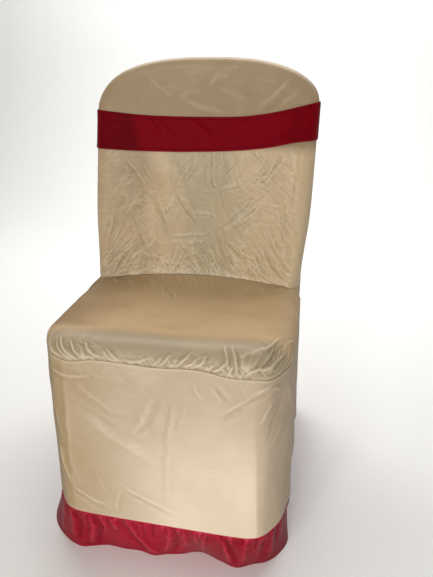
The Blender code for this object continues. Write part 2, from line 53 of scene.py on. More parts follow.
# ---- Sizes of the cover, in metres --------------------------------------------------------------
CLOTH = 0.0009            # thickness of the satin
SEAM_GAP = 0.0004
OVERALL_HEIGHT = 0.868
SHOULDER_HEIGHT = 0.755
BACK_HALF_WIDTH = 0.245
ARCH_POWER = 2.5
ARCH_SHIFT = 0.005
BACK_ROUND = 0.035
BACK_ROUND_POWER = 3.0
SEAT_ROUND = 0.050
SEAT_ROUND_POWER = 2.4
SIDE_SEAM_Y = 0.235
SIDE_SEAM_HEIGHT = 0.401
SKIRT_TOP_FRONT = 0.379
BORDER_HEIGHT = 0.0855
SEAT_FRONT_HEIGHT = 0.432
SEAT_REAR_HEIGHT = 0.412
SEAT_RISE = 0.013
SEAT_DISH = 0.010
SEAT_DEPTH = 0.36
SKIRT_SKEW = 0.050
SASH_LIFT = 0.0025        # outer face of the sash over the outer face of the back
SOLID_CLOTH = 0.0012
LAP_REACH = 0.0030        # cloth that runs on under its neighbour at a seam
LAP_DROP = 0.0013         # depth of that cloth under the outer face
LAP_STEP = 0.0002         # how far past the edge it steps down
SIDE_LAP_COLUMNS = 2
SEAM_REACH = 0.003        # cloth this near a side seam stands back by half the gap
SASH_PRESS = 0.034        # half the height over which the sash presses the cloth flat
FACING_Y = -0.17          # cloth further forward than this faces the front
FACING_RUN = 0.04
ORIGIN = np.array((0.0, 0.262, OVERALL_HEIGHT - SOLID_CLOTH))

# Level sections of the back; its last row stands for the plan at the arch's top.
BACK_COLUMNS = ("height", "half_width", "face_y", "seam_y", "rear_y", "hollow")
BACK_SECTIONS = np.array((
    (BORDER_HEIGHT, 0.2316, 0.0750, SIDE_SEAM_Y, 0.282, 0.030),
    (0.3860, 0.2286, 0.0750, SIDE_SEAM_Y, 0.276, 0.030),
    (0.4160, 0.2286, 0.0848, SIDE_SEAM_Y, 0.275, 0.030),
    (0.5460, 0.2402, 0.1370, 0.238, 0.276, 0.019),
    (0.6760, 0.2436, 0.1900, 0.246, 0.282, 0.006),
    (SHOULDER_HEIGHT, BACK_HALF_WIDTH, 0.2237, 0.255, 0.288, 0.000),
    (OVERALL_HEIGHT, BACK_HALF_WIDTH, 0.2390, 0.262, 0.290, 0.000),
))

# Half the skirt's plan at two levels: front_y, corner_x, corner_y, side_x.
SKIRT_TOP_PLAN = (-0.230, 0.1755, -0.201, 0.2217)
BORDER_TOP_PLAN = (-0.2555, 0.1680, -0.2310, 0.2225)

# The seam between seat and skirt wanders along the front: x, rise.
SEAM_RISES = np.array((
    (-0.230, 0.006),
    (-0.180, 0.016),
    (-0.152, 0.011),
    (-0.106, 0.017),
    (-0.060, 0.015),
    (-0.010, 0.012),
    (0.080, 0.012),
    (0.118, 0.004),
    (0.160, 0.003),
    (0.200, -0.003),
    (0.230, 0.000),
))

# Edges of the sash: x, lower height, upper height.
SASH_EDGES = np.array((
    (-0.245, 0.681, 0.761),
    (-0.140, 0.677, 0.751),
    (0.000, 0.6775, 0.748),
    (0.090, 0.682, 0.750),
    (0.150, 0.689, 0.758),
    (0.200, 0.699, 0.769),
    (0.245, 0.704, 0.780),
))

# Lean of the hem: place along it from the middle of the front, push outwards.
HEM_LEAN = np.array((
    (-1.02, 0.010), (-0.75, 0.010), (-0.50, 0.018), (-0.31, 0.024), (-0.26, 0.0225),
    (-0.22, 0.0155), (-0.19, 0.007), (-0.14, -0.002), (-0.05, -0.0115), (0.06, -0.017),
    (0.14, -0.019), (0.18, -0.0175), (0.215, -0.006), (0.26, 0.0035), (0.36, 0.002), (0.60, -0.004),
    (0.75, 0.004), (1.02, 0.010),
))
# Waves of the hem, then the hanging folds of the sides and the rear: place, width, push.
HEM_WAVES = (
    (-0.355, 0.022, 0.005), (-0.305, 0.018, -0.004), (-0.155, 0.014, 0.003),
    (-0.108, 0.022, -0.005), (-0.018, 0.018, 0.007), (0.066, 0.030, -0.014), (0.136, 0.020, 0.008),
    (0.185, 0.014, -0.002), (0.270, 0.020, 0.003), (0.330, 0.022, -0.005), (0.385, 0.028, 0.005),
    (0.450, 0.024, -0.005), (0.530, 0.030, 0.004), (0.610, 0.024, -0.005), (0.700, 0.030, 0.004),
    (0.790, 0.028, -0.006), (0.880, 0.032, 0.008), (0.975, 0.028, -0.006), (-0.950, 0.030, 0.008),
    (-0.860, 0.026, -0.006), (-0.770, 0.030, 0.008), (-0.680, 0.024, -0.006),
    (-0.600, 0.030, 0.007), (-0.510, 0.026, -0.006), (-0.430, 0.030, 0.006),
)
SIDE_FOLDS = (
    (-0.160, 0.022, 0.005), (-0.100, 0.024, -0.006), (-0.040, 0.026, 0.007), (0.030, 0.026, -0.006),
    (0.095, 0.028, 0.006), (0.165, 0.024, -0.005),
)
REAR_FOLDS = (
    (-0.160, 0.026, 0.008), (-0.095, 0.026, -0.006), (-0.030, 0.030, 0.007), (0.040, 0.026, -0.006),
    (0.105, 0.028, 0.008), (0.170, 0.024, -0.005),
)

# ---- Creases, in millimetres: ridges (+) or troughs (-) along a bowed line ----------------------
# Columns: start, start_rise, end, end_rise, bow, width, height.
FACE_CREASES = (
    # long drag lines from the sash down to the middle
    (-178, 670, -112, 590, 4, 5, 1.6), (-120, 605, -62, 490, 3, 9, -2.6),
    (-130, 660, -106, 612, 0, 4, 1.6), (-104, 612, -70, 510, 4, 5, 1.4),
    (-182, 626, -128, 624, 0, 3, 1.0), (-180, 632, -130, 634, 0, 4, -0.8),
    # the dark crease left of the middle and what crosses it
    (-54, 596, 3, 520, -4, 4, -3.0), (-44, 600, 10, 530, -4, 5, 1.4),
    (-26, 550, 50, 540, 2, 3, -1.6), (-24, 556, 46, 547, 3, 3, 1.2),
    (-92, 548, -46, 586, 2, 4, 1.4), (-88, 540, -40, 576, 2, 5, -1.0),
    # the long swag from low on the left up to the right
    (-72, 508, 30, 516, -10, 5, -2.0), (-68, 500, 34, 508, -10, 4, 1.6),
    (28, 516, 128, 604, -10, 7, -1.8), (36, 510, 132, 590, -9, 5, 1.8),
    (128, 604, 166, 642, 3, 4, 1.8), (116, 610, 150, 648, 3, 4, -1.4),
    (90, 536, 134, 577, -3, 4, 2.2), (132, 577, 186, 568, 5, 3.5, 1.8),
    (104, 560, 146, 596, 2, 4, -1.6),
    # curls under the sash
    (22, 630, 42, 602, -7, 4, -1.8), (42, 602, 106, 622, -6, 4, -1.6),
    (38, 608, 100, 632, -6, 3.5, 1.3), (100, 622, 166, 636, 3, 3, 1.5),
    (104, 614, 170, 620, 4, 3, -1.3), (-60, 640, 10, 622, 6, 4, 1.2),
    (-70, 660, -40, 630, 4, 4, -1.2), (-20, 664, -60, 600, 4, 5, 1.3),
    (0, 665, -38, 606, 3, 5, -1.4), (60, 668, 30, 640, 4, 4, 1.2), (84, 670, 46, 628, 4, 4, -1.1),
    (140, 676, 122, 640, 3, 4, 1.2), (168, 684, 132, 622, 5, 4, 1.7),
    (178, 680, 150, 640, 4, 4, -1.4), (150, 660, 190, 650, 2, 3, 1.0),
    # fan out of the bottom right corner
    (208, 418, 150, 472, 4, 6, -2.6), (212, 428, 160, 492, 6, 5, 2.2),
    (214, 444, 146, 548, 10, 5, 1.9), (216, 464, 176, 540, 8, 4, -1.7),
    (222, 480, 168, 562, 9, 4, 1.5), (200, 412, 128, 446, 5, 5, 1.8),
    (194, 408, 120, 428, 4, 5, -1.8), (184, 428, 152, 484, 3, 5, -2.0),
    (176, 430, 140, 494, 4, 4, 1.9), (160, 428, 128, 476, 3, 4, -1.7),
    (150, 428, 118, 486, 4, 4, 1.9), (232, 546, 172, 558, -3, 3, 1.4),
    (228, 520, 184, 552, 3, 3.5, -1.3), (136, 430, 108, 462, 3, 4, 1.7),
    (204, 500, 180, 600, 5, 5, -1.4),
    # tucks along the foot
    (100, 428, 66, 478, 3, 4, -2.0), (92, 430, 58, 484, 3, 4, 1.8), (66, 434, 44, 476, 2, 4, -1.8),
    (56, 434, 32, 470, 2, 4, 1.8), (26, 430, 2, 454, 2, 3.5, -1.6),
    (16, 432, -10, 456, 2, 3.5, 1.6), (102, 456, 50, 500, -4, 5, -1.8),
    (110, 462, 58, 506, -4, 4, 1.6), (-18, 432, -48, 452, -3, 4, 1.6),
    (-34, 432, -64, 446, -2, 4, -1.5), (-50, 450, -112, 476, 6, 4, 1.8),
    (-46, 442, -108, 462, 6, 4, -1.6), (-60, 432, -86, 458, 2, 3.5, 1.3),
    (10, 444, 52, 462, -3, 3.5, 1.3), (-10, 462, 60, 470, 5, 4, -1.4),
    # fan out of the bottom left corner
    (-208, 424, -126, 494, 4, 5, 2.2), (-206, 432, -134, 506, 4, 5, -2.0),
    (-190, 422, -150, 480, 3, 4, 1.9), (-182, 422, -142, 474, 3, 4, -1.8),
    (-164, 426, -138, 482, 2, 4, 1.8), (-150, 428, -126, 470, 2, 4, -1.6),
    (-128, 508, -118, 470, 0, 4, -2.2), (-118, 470, -90, 506, 0, 4, 1.8),
    (-212, 450, -190, 560, -4, 5, 1.6), (-218, 470, -198, 540, -2, 5, -1.5),
    (-136, 430, -118, 468, 2, 4, 1.4), (-104, 430, -90, 462, 2, 4, -1.2),
    # slack beside both edges
    (-206, 640, -198, 560, 3, 5, 0.7), (-224, 630, -218, 500, 3, 5, -0.8),
    (212, 650, 200, 560, -3, 5, -0.8), (-150, 600, -120, 540, 4, 7, 0.9),
    (-160, 560, -130, 500, 4, 6, -1.2), (-100, 560, -84, 520, 2, 4, 1.0),
    (60, 590, 110, 600, -4, 4, 0.9),
)
TOP_CREASES = (
    (-134, 832, -58, 788, -5, 9, 1.7), (-64, 790, 64, 752, -4, 8, 2.6),
    (-60, 780, 60, 742, -4, 9, -2.0), (84, 860, -4, 806, -5, 8, 1.6),
    (-2, 808, -62, 786, 2, 8, 1.5), (18, 810, 112, 772, 4, 8, 1.7), (184, 838, 108, 762, 6, 8, 1.8),
    (198, 824, 122, 756, 6, 9, -1.5), (96, 850, 4, 798, -5, 9, -1.3),
    (-180, 800, -120, 770, 4, 9, 0.6), (204, 806, 160, 776, 3, 8, 1.0),
)
SEAT_CREASES = (
    # the long arc across the dish and its continuation
    (-150, -30, 20, -96, -10, 4, -1.6), (10, -96, 165, -50, -8, 4, -1.4),
    (-140, -42, 24, -106, -9, 7, 0.9),
    # pleats out of the foot seam
    (-72, 74, -16, -12, 4, 4, -1.5), (-80, 78, -30, 0, 4, 5, 1.1), (-112, 88, -82, 50, 2, 4, -1.3),
    (-100, 92, -70, 60, 2, 4, 1.0), (-50, 108, -24, 84, 2, 4, 1.8), (-36, 108, -4, 70, 2, 5, -1.1),
    (-14, 108, 10, 80, 2, 4, 1.0), (22, 106, 36, 80, 2, 4, -0.9), (-146, 88, -126, 52, 2, 5, 1.0),
    (-182, 84, -162, 64, 2, 4, 1.6), (130, 88, 110, 60, -2, 5, 0.9),
    (170, 84, 150, 60, -2, 4, -1.0), (196, 86, 178, 64, -2, 4, 1.2),
    # slack in the dish
    (-60, -130, 40, -160, -6, 8, 0.7), (-120, -120, -40, -170, -4, 7, -0.8),
    (-100, -150, -20, -190, -4, 5, 0.9), (60, -150, 140, -150, -4, 8, -0.6),
    (-20, -40, 60, -30, -4, 12, -0.6), (40, 20, 120, 0, -4, 14, 0.6),
)
# Gathers on the roll of the seat: along the skirt seam, and up from it.
GATHER_CREASES = (
    (-196, 2, -232, 34, 4, 4, 1.3), (-172, 2, -214, 30, 4, 5, 1.0),
    (-160, 2, -206, 42, 6, 3.5, 1.9), (-141, 2, -176, 28, 4, 4, 1.2),
    (-130, 2, -176, 44, 6, 3.5, 2.1), (-110, 2, -154, 40, 5, 3.5, 2.1),
    (-101, 2, -128, 24, 4, 4, 1.2), (-86, 2, -124, 36, 5, 3.5, 2.1), (-68, 2, -90, 20, 3, 4, 1.0),
    (-54, 2, -88, 23, 3, 3.5, 1.5), (-56, 7, -8, 13, -3, 3.5, 1.1), (-10, 2, 13, 22, -3, 3.5, 1.5),
    (4, 2, 24, 25, -3, 3.5, 1.8), (20, 2, 38, 21, -3, 4, 1.2), (31, 2, 57, 30, -3, 3.5, 2.1),
    (48, 2, 68, 24, -3, 4, 1.4), (59, 2, 85, 32, -3, 3.5, 2.1), (78, 2, 98, 25, -3, 4, 1.4),
    (90, 2, 117, 33, -3, 3.5, 2.0), (110, 2, 124, 24, -3, 3.5, 1.4),
    # shallow hollows between them
    (-144, 4, -188, 34, 5, 7, -1.1), (-118, 4, -160, 34, 4, 7, -1.1),
    (-92, 4, -122, 26, 4, 7, -0.9), (44, 4, 70, 28, -3, 7, -1.0), (74, 4, 100, 28, -3, 7, -1.0),
    (120, 2, 112, 62, 2, 2.5, 1.1), (133, 2, 128, 66, 2, 3, 0.9), (139, 2, 136, 50, 2, 4, -0.9),
    # the pulled corner on the right
    (140, 3, 200, 24, 4, 4, 2.2), (150, 2, 218, 12, 3, 5, -1.4), (158, 14, 236, 34, 4, 4, 2.2),
    (166, 26, 242, 48, 4, 7, -1.5), (150, 40, 236, 62, 6, 8, 2.4), (128, 34, 180, 44, 4, 8, 1.2),
    (196, 6, 250, 22, 3, 4, 1.5), (236, 40, 268, 30, 2, 4, 1.0),
)
SKIRT_CREASES = (
    # the upright fold down the middle
    (29, 366, 12, 88, -3, 3.5, 2.4), (22, 366, 5, 88, -3, 5, -1.5), (44, 330, 26, 270, 1, 4, -1.2),
    (50, 336, 34, 280, 1, 4, 0.8),
    # crossing drags left of it
    (5, 342, -40, 252, 2, 6, -2.2), (-5, 344, -49, 256, 2, 6, 1.4), (-36, 330, -19, 256, 0, 4, 1.0),
    (-28, 330, -12, 262, 0, 4, -0.8), (-156, 366, -40, 296, -9, 11, 1.6),
    (-160, 352, -36, 282, -9, 14, -2.8), (-150, 322, 14, 226, -6, 15, -3.6),
    (-142, 300, 12, 206, -5, 11, 1.8), (-120, 340, -50, 300, -3, 9, -0.9),
    # bright pulls low on the left
    (-186, 232, -160, 136, -3, 4, 2.6), (-176, 232, -150, 140, -3, 6, -1.8),
    (-163, 140, -88, 106, -2, 3.5, 2.8), (-160, 130, -94, 99, -2, 5, -1.6),
    (-80, 167, 44, 113, -5, 3.5, 2.4), (-80, 158, 40, 106, -5, 5, -1.5),
    (-71, 156, -80, 98, 0, 3, 1.5), (-65, 150, -73, 98, 0, 4, -0.9),
    (-118, 190, -96, 130, 2, 8, 0.8),
    # short drags under the seat seam
    (54, 374, 67, 338, 0, 3.5, -1.4), (60, 374, 74, 342, 0, 3.5, 0.9),
    (92, 372, 120, 336, 1, 3.5, -1.2), (84, 372, 108, 336, 1, 4, 0.9),
    (-110, 374, -100, 340, 0, 4, -0.7), (-20, 374, -12, 340, 0, 4, -0.8),
    (108, 308, 146, 340, -1, 5, -1.8), (140, 336, 188, 362, 1, 5, -2.0),
    (114, 322, 150, 352, -1, 5, 0.6), (160, 358, 192, 372, 2, 4, 1.6),
    (120, 300, 150, 330, 0, 5, 0.4),
    # slanting light folds on the turned sides
    (190, 354, 168, 300, 2, 5, 1.5), (206, 352, 176, 270, 3, 6, -1.6),
    (214, 330, 184, 250, 3, 5, 1.5), (220, 284, 200, 240, 2, 5, 1.2),
    (212, 250, 190, 190, 2, 7, -1.0), (184, 364, 200, 350, 0, 3, 2.0),
    (-190, 350, -176, 250, -2, 5, 1.5), (-200, 340, -184, 230, -3, 6, -1.6),
    (-206, 300, -190, 200, -2, 6, 1.5),
    # legs of the chair under the cloth
    (-157, 372, -162, 84, 0, 9, 0.9), (-208, 382, -100, 374, -16, 5, 1.8),
    (-204, 374, -104, 365, -16, 7, -1.3),
)
SIDE_CREASES = (
    (-200, 380, -150, 250, 4, 8, 1.6), (-140, 390, -110, 240, 4, 9, -1.6),
    (-100, 392, -60, 230, 4, 9, 1.6), (-30, 396, -10, 260, 4, 8, -1.4),
    (20, 398, 40, 240, 4, 9, 1.6), (90, 396, 100, 270, 3, 8, -1.4), (150, 398, 150, 260, 3, 8, 1.4),
    (200, 396, 190, 250, -3, 8, -1.2), (-60, 200, -40, 100, 2, 9, 1.2),
    (60, 220, 70, 100, 2, 9, -1.2), (-180, 210, -170, 96, 2, 8, -1.2),
    (180, 220, 190, 100, 2, 9, 1.2),
)
REAR_CREASES = (
    (-150, 640, -90, 520, 6, 10, 1.4), (120, 650, 60, 520, -6, 10, 1.4),
    (-60, 660, -30, 480, 5, 9, -1.2), (30, 650, 10, 470, -5, 9, 1.2),
    (-180, 560, -120, 380, 6, 10, -1.4), (170, 560, 130, 400, -6, 10, -1.4),
    (-90, 420, -60, 200, 5, 10, 1.4), (80, 430, 60, 220, -5, 10, 1.4),
    (0, 400, -6, 160, 4, 9, -1.4), (-150, 330, -140, 120, 4, 10, 1.2),
    (150, 340, 150, 120, -4, 10, -1.2), (-120, 830, -60, 790, 4, 6, 1.0),
    (110, 836, 50, 800, -4, 6, 1.0), (-10, 850, 20, 800, 4, 6, -0.8),
)
BORDER_CREASES = (
    (-134, 88, -138, 0, 5, 9, 4.6), (-121, 88, -124, 0, 4, 10, -4.0), (-98, 88, -84, 56, 2, 6, 2.6),
    (-104, 88, -114, 30, 2, 7, 2.4), (-66, 90, 0, -4, -6, 9, 4.8), (-80, 90, -20, -4, -6, 12, -3.6),
    (16, 90, 2, 0, 3, 8, 4.4), (28, 88, 20, 0, 3, 11, -3.6), (46, 88, 40, 24, 2, 8, 2.4),
    (104, 90, 124, 4, 4, 9, 4.8), (114, 88, 138, 4, 4, 11, -3.8), (150, 88, 152, 6, 2, 10, 2.8),
    (-176, 88, -170, 10, 2, 10, 3.0), (-162, 88, -158, 8, 2, 11, -2.8),
    (-200, 88, -206, 6, 2, 10, 3.2), (80, 88, 74, 14, 2, 9, 2.4), (190, 88, 194, 10, 2, 11, -2.8),
    (206, 88, 210, 10, 2, 9, 2.8), (-40, 88, -34, 44, 1, 6, 2.0), (62, 88, 66, 40, 1, 6, 2.0),
)
SASH_CREASES = (
    (-136, 752, -84, 692, 3, 7, 1.5), (-104, 748, -56, 700, -3, 6, 1.2),
    (-50, 748, 30, 698, 4, 8, 1.4), (-150, 752, -116, 718, 2, 5, 0.9),
    (-20, 744, 50, 708, 3, 6, -0.9), (124, 694, 212, 740, -4, 8, -1.3),
    (140, 690, 222, 728, -4, 6, 1.0), (168, 742, 240, 770, 3, 6, 1.1),
    (-240, 740, -170, 728, -3, 6, 0.6), (-230, 704, -180, 700, 3, 6, -0.5),
    (60, 738, 130, 716, 3, 9, 0.8), (200, 752, 246, 742, 2, 6, 0.7),
)

# Fans of folds out of an apex, in millimetres, inside an oval window. Columns: apex_x, apex_z,
# middle_x, middle_z, reach_x, reach_z, across, along, height.
FACE_FANS = (
    (232, 385, 178, 478, 66, 84, 12, 90, 1.3),       # out of the bottom right corner
    (-236, 388, -178, 468, 60, 70, 13, 80, 1.1),     # out of the bottom left corner
    (140, 330, 50, 450, 84, 36, 11, 60, 1.1),        # slanting tucks along the foot
    (-120, 330, -60, 446, 66, 32, 12, 50, 1.0),
    (300, 520, 150, 590, 80, 60, 14, 90, 0.9),       # short drags on the right
    (30, 800, 0, 650, 110, 46, 16, 70, 0.7),         # curls under the sash
)
GATHER_FANS = (
    (-260, 90, -120, 16, 80, 20, 11, 40, 0.6),
    (250, 120, 75, 12, 62, 15, 11, 40, 0.5),
    (120, -30, 214, 26, 62, 34, 13, 80, 0.8),
)
# Crumples: size of a fold and its height in metres, turn in degrees.
FACE_CRUMPLE = ((0.060, 0.0011, 40), (0.028, 0.0008, 120), (0.014, 0.00035, 60))
TOP_CRUMPLE = ((0.090, 0.0012, 50), (0.050, 0.0006, 130))
SEAT_CRUMPLE = ((0.080, 0.0008, 20), (0.045, 0.0004, 110))
SKIRT_CRUMPLE = ((0.110, 0.0012, 60), (0.060, 0.0005, 120))
REAR_CRUMPLE = ((0.110, 0.0015, 70), (0.050, 0.0006, 110))

# Short gathers under the border seam, in millimetres along the border.
PUCKER_REACH = 940.0      # either way from the middle of the front
PUCKER_STEP = 15.0
PUCKER_START = 108.0      # height where they start, above the seam and so cut off by it
PUCKER_FOOT = 85.0        # height from which their depth is measured

# ---- Grids --------------------------------------------------------------------------------------
FLAT_COLUMNS = 22         # the solids' columns: flat of the back, then its rolled edge
ROUND_COLUMNS = 6
ALL_COLUMNS = FLAT_COLUMNS + ROUND_COLUMNS
SEAT_END_COLUMN = 24
SEAT_END_STATION = 0.74
FOOT_ROUNDS = 8           # tries until the foot of the back settles on the seat

# Steps in each of those columns, then in each round one, and rows of each piece.
FACE_STEPS, FACE_ROUND_STEPS = 5, 3
CRUSHED_ROWS, SMOOTH_ROWS, FACE_ROUND_ROWS = 132, 40, 9
CRUSHED_SHARE = 0.63      # share of the face's height that the crushed rows take
REAR_STEPS, REAR_ROUND_STEPS = 3, 3
REAR_ROWS, REAR_ROUND_ROWS = 170, 8
SEAT_STEPS = 10
SEAT_ROUND_ROWS, SEAT_TOP_ROWS = 44, 45
SKIRT_STEPS, SKIRT_ROWS = 7, 122
BESIDE_POINTS, BRIDGE_POINTS = 19, 9   # along the back's foot, and from the seat's end to it
OUTLINE_POINTS, SEAM_POINTS = 300, 160   # where the skirt's outline is searched
BORDER_COLUMNS, BORDER_ROWS = 900, 51
TANGENT_STEPS = 8         # columns over which the border's direction is evened out
SASH_STEPS, SASH_ROUND_STEPS, SASH_ROWS = 5, 4, 57

# ---- Where creases fade out and seams draw in ---------------------------------------------------
# Crest of the folds in crease_push(), from sharp to soft.
KEEN_CREST, GATHER_CREST, PLAIN_CREST, SOFT_CREST = 0.7, 0.8, 1.0, 1.5
FACE_CREASE_SCALE = 0.6
# Distances from a seam or an edge over which creases grow to their height.
FACE_CLEAR = 0.018
REAR_CLEAR = 0.03
REAR_FOOT_CLEAR = 0.02
SEAT_CLEAR = 0.02
GATHER_CLEAR = 0.004
SIDE_CLEAR = 0.03
SKIRT_CLEAR_RATE = 20.0   # one over such a distance as a share of the piece's height
BORDER_CLEAR_RATE = 14.0
BELOW_SASH_RUN = 0.05     # height over which crushed cloth gives way to smooth cloth
FACE_PRESS_RUN = 0.012    # height over which creases come back past the sash
REAR_PRESS_RUN = 0.014
HANG_START, HANG_RUN = 0.60, 0.45   # height where the rear's folds start, and their growth
# Cloth drawn in beside a seam: depth, width.
SEAM_TUCK = (0.0011, 0.0028)
FACE_FOOT_TUCK = (0.0006, 0.002)
SEAT_SEAM_TUCK = (0.0016, 0.004)
SEAT_FOOT_TUCK = (0.0006, 0.002)
SKIRT_TOP_TUCK = (0.0004, 0.004)
SKIRT_FOOT_TUCK = (0.0005, 0.002)
SEAT_SETBACK = 0.0006     # gap between the seat and the face at the back's foot
SEAT_ROLL_LIMIT = 0.6     # most of a column that the seat's roll may take
SEAT_END_COLUMNS = 4.0    # columns at the seat's ends over which its forms level out
SEAT_END_CALM = 0.7       # share of the gathers lost there
HEM_LEAN_POWER = 1.4      # how late down the border its lean grows
SASH_FACE_END_Y = 0.26    # behind this the sash is plain
SASH_CLEAR = 0.2          # share of half the sash's width
SASH_ROLLS = ((0.0004, 0.84, 0.04), (-0.0010, 0.93, 0.07))   # push, start and run as shares

# ---- Noise, weave and stitches ------------------------------------------------------------------
LATTICE = 97              # cells before the noise repeats
WAVER_SEEDS = (201, 203)
FACE_FAN_SEED, GATHER_FAN_SEED = 40, 90
FACE_SEED, TOP_SEED, REAR_SEED, SEAT_SEED, SKIRT_SEED = 5, 9, 3, 4, 8
PUCKER_SEED = 12
TONE_SEED = 61
PULL_CORNER = (0.31, 0.37)   # x and height that the face's creases run out of, on both sides
CREST_BEND = 170.0        # bend of a clear crest, 1/m
CREST_HIGHLIGHT_SHARE = 0.55        # share of the painted crest highlight or crease shade on a clear crest or crease
CREASE_SHADE_SHARE = 0.55
THREADS_PER_METRE = 2600.0
FLOAT_RATE = 0.27         # floats along a thread for each thread across
FLOAT_SHIFT = 2.4         # radians from one thread to the next
WARP_SHARE, FLOAT_SHARE = 0.6, 0.4
SLUB_RATES = (14.0, 420.0)   # of the slubs' noise across and along, 1/m
CLOUD_DRIFT = 0.6         # how far soft noise and slubs move the tone
SLUB_DRIFT = 0.22
WEAVE_RELIEF = 0.00006
WEAVE_STRENGTH = 0.25
CRUSH_SIZES = ((1.0, 0.62), (2.1, 0.38))   # rate and weight of each bent noise
CRUSH_BEND = 0.9
GLINT_LINE_WIDTH = 0.022        # width of the painted glint lines, in the noise's own value
CRUSH_CREST_POWER = 0.7
PATCH_FROM, PATCH_TO, BETWEEN_PATCHES = 0.40, 0.62, 0.25
STITCH_LENGTH = 0.0034
STITCH_HALF_WIDTH = 0.0006
STITCH_RELIEF = 0.0005
GROOVE_WIDTHS = 4.0       # half the groove's width over half a stitch's
GROOVE_DEPTH = 0.7        # share of the thread's height
# share of painted shade in the groove beside the stitches
GROOVE_SHADE = 0.5
SASH_HEM = 0.0055         # stitch row from the sash's long edges
BORDER_HEM = 0.0080       # stitch row above the border's lower edge
NO_STITCH = 1.0           # distance that keeps a piece free of stitches
SHARP_ANGLE = 55.0        # degrees between faces from which an edge stays sharp


# ---- Small tools --------------------------------------------------------------------------------
def smooth(value):
    """Ease from 0 to 1."""
    value = np.clip(value, 0.0, 1.0)
    return value * value * (3.0 - 2.0 * value)


def through(keys, values, at):
    """Cubic Hermite curve through the table's points, level beyond its ends."""
    slopes = np.gradient(values, keys)
    at = np.clip(at, keys[0], keys[-1])
    low = np.clip(np.searchsorted(keys, at, side="right") - 1, 0, len(keys) - 2)
    step = keys[low + 1] - keys[low]
    t = (at - keys[low]) / step
    start = (2 * t**3 - 3 * t**2 + 1) * values[low] + (t**3 - 2 * t**2 + t) * step * slopes[low]
    end = (3 * t**2 - 2 * t**3) * values[low + 1] + (t**3 - t**2) * step * slopes[low + 1]
    return start + end


def back_size(column, height):
    """One column of the back's section table at any height."""
    return through(BACK_SECTIONS[:, 0], BACK_SECTIONS[:, BACK_COLUMNS.index(column)], height)


def soft_outline(points, station):
    """Quadratic B-spline from the first to the last control point, station 0 to 1."""
    spans = len(points) - 2
    place = np.clip(station, 0.0, 1.0) * spans
    span = np.minimum(place.astype(int), spans - 1)
    t = (place - span)[..., None]
    middles = (points[:-1] + points[1:]) / 2.0
    start = np.where((span == 0)[..., None], points[0], middles[span])
    end = np.where((span == spans - 1)[..., None], points[-1], middles[span + 1])
    return start * (1 - t)**2 + 2 * points[span + 1] * t * (1 - t) + end * t**2


def round_over(inset, reach, power):
    """Superellipse quarter: 0 on an edge, 1 from the given reach inwards."""
    left = 1.0 - np.clip(inset / reach, 0.0, 1.0)
    return (1.0 - left**power)**(1.0 / power)


def grid_steps(values, closed=False):
    """Change of a grid's values from one column to the next, and from one row to the next."""
    if closed:
        along = (np.roll(values, -1, axis=0) - np.roll(values, 1, axis=0)) / 2.0
    else:
        along = np.gradient(values, axis=0)
    return along, np.gradient(values, axis=1)


def normals(points, closed=False):
    """Unit normals: cross product of the grid's two directions."""
    normal = np.cross(*grid_steps(points, closed))
    return normal / np.maximum(np.linalg.norm(normal, axis=-1, keepdims=True), 1e-12)


def fold_crest(points, closed=False):
    """How sharply cloth turns over a crest (+) or into a crease (-), -1 to 1: the spread of the
    normals over the spread of the points, summed over both directions, over CREST_BEND."""
    bend = np.zeros(points.shape[:2])
    for turn, step in zip(grid_steps(normals(points, closed), closed), grid_steps(points, closed)):
        bend += np.sum(turn * step, axis=-1) / np.maximum(np.sum(step * step, axis=-1), 1e-9)
    return np.tanh(bend / CREST_BEND)


def bell_push(along, bells):
    """Sum of bells by the place along a seam."""
    push = np.zeros(np.shape(along))
    for place, width, height in bells:
        push += height * np.exp(-((along - place) / width)**2)
    return push


def gradient_noise(first, second, seed):
    """Noise near -1 to 1: slopes of random direction on a unit lattice, eased between them."""
    turns = np.random.default_rng(seed).uniform(0.0, 2.0 * math.pi, (LATTICE, LATTICE))
    column = np.floor(first).astype(int)
    row = np.floor(second).astype(int)
    u = first - column
    v = second - row
    ease_u = u * u * u * (u * (6.0 * u - 15.0) + 10.0)
    ease_v = v * v * v * (v * (6.0 * v - 15.0) + 10.0)

    def corner(step_u, step_v):
        """Height here of the slope that passes through one corner of the cell."""
        turn = turns[(column + step_u) % LATTICE, (row + step_v) % LATTICE]
        return np.cos(turn) * (u - step_u) + np.sin(turn) * (v - step_v)

    low = corner(0, 0) + (corner(1, 0) - corner(0, 0)) * ease_u
    high = corner(0, 1) + (corner(1, 1) - corner(0, 1)) * ease_u
    return 1.6 * (low + (high - low) * ease_v)


def waver(first, second, seed):
    """Drift of a fold's line, up to a few millimetres: noise at two sizes."""
    slow = 0.0030 * gradient_noise(first / 0.034, second / 0.034, seed)
    return slow + 0.0010 * gradient_noise(first / 0.011, second / 0.011, seed + 1)


def crease_push(first, second, creases, crest):
    """Sum of folds across bowed lines that waver a little and taper towards both ends.

    Across the line the height falls as exp(-(sqrt(1 + (2 a / w)^2) - 1) / crest), a bell where
    crest is large and a sharp crest with hollow flanks where it is small."""
    drift, rise = [waver(first, second, seed) for seed in WAVER_SEEDS]
    first, second = first + drift, second + rise
    push = np.zeros(np.shape(first))
    for start, start_rise, end, end_rise, bow, width, height in np.array(creases, float) * MM:
        run_x = end - start
        run_z = end_rise - start_rise
        length = math.hypot(run_x, run_z)
        along = ((first - start) * run_x + (second - start_rise) * run_z) / length**2
        across = ((second - start_rise) * run_x - (first - start) * run_z) / length
        across = across - bow * 4.0 * along * (1.0 - along)
        taper = np.sqrt(np.clip(4.0 * along * (1.0 - along), 0.0, 1.0))
        spread = width * (0.45 + 0.55 * taper)
        ends = smooth(along / 0.35) * smooth((1.0 - along) / 0.35)
        push += height * ends * np.exp(-(np.sqrt(1.0 + (2.0 * across / spread)**2) - 1.0) / crest)
    return push


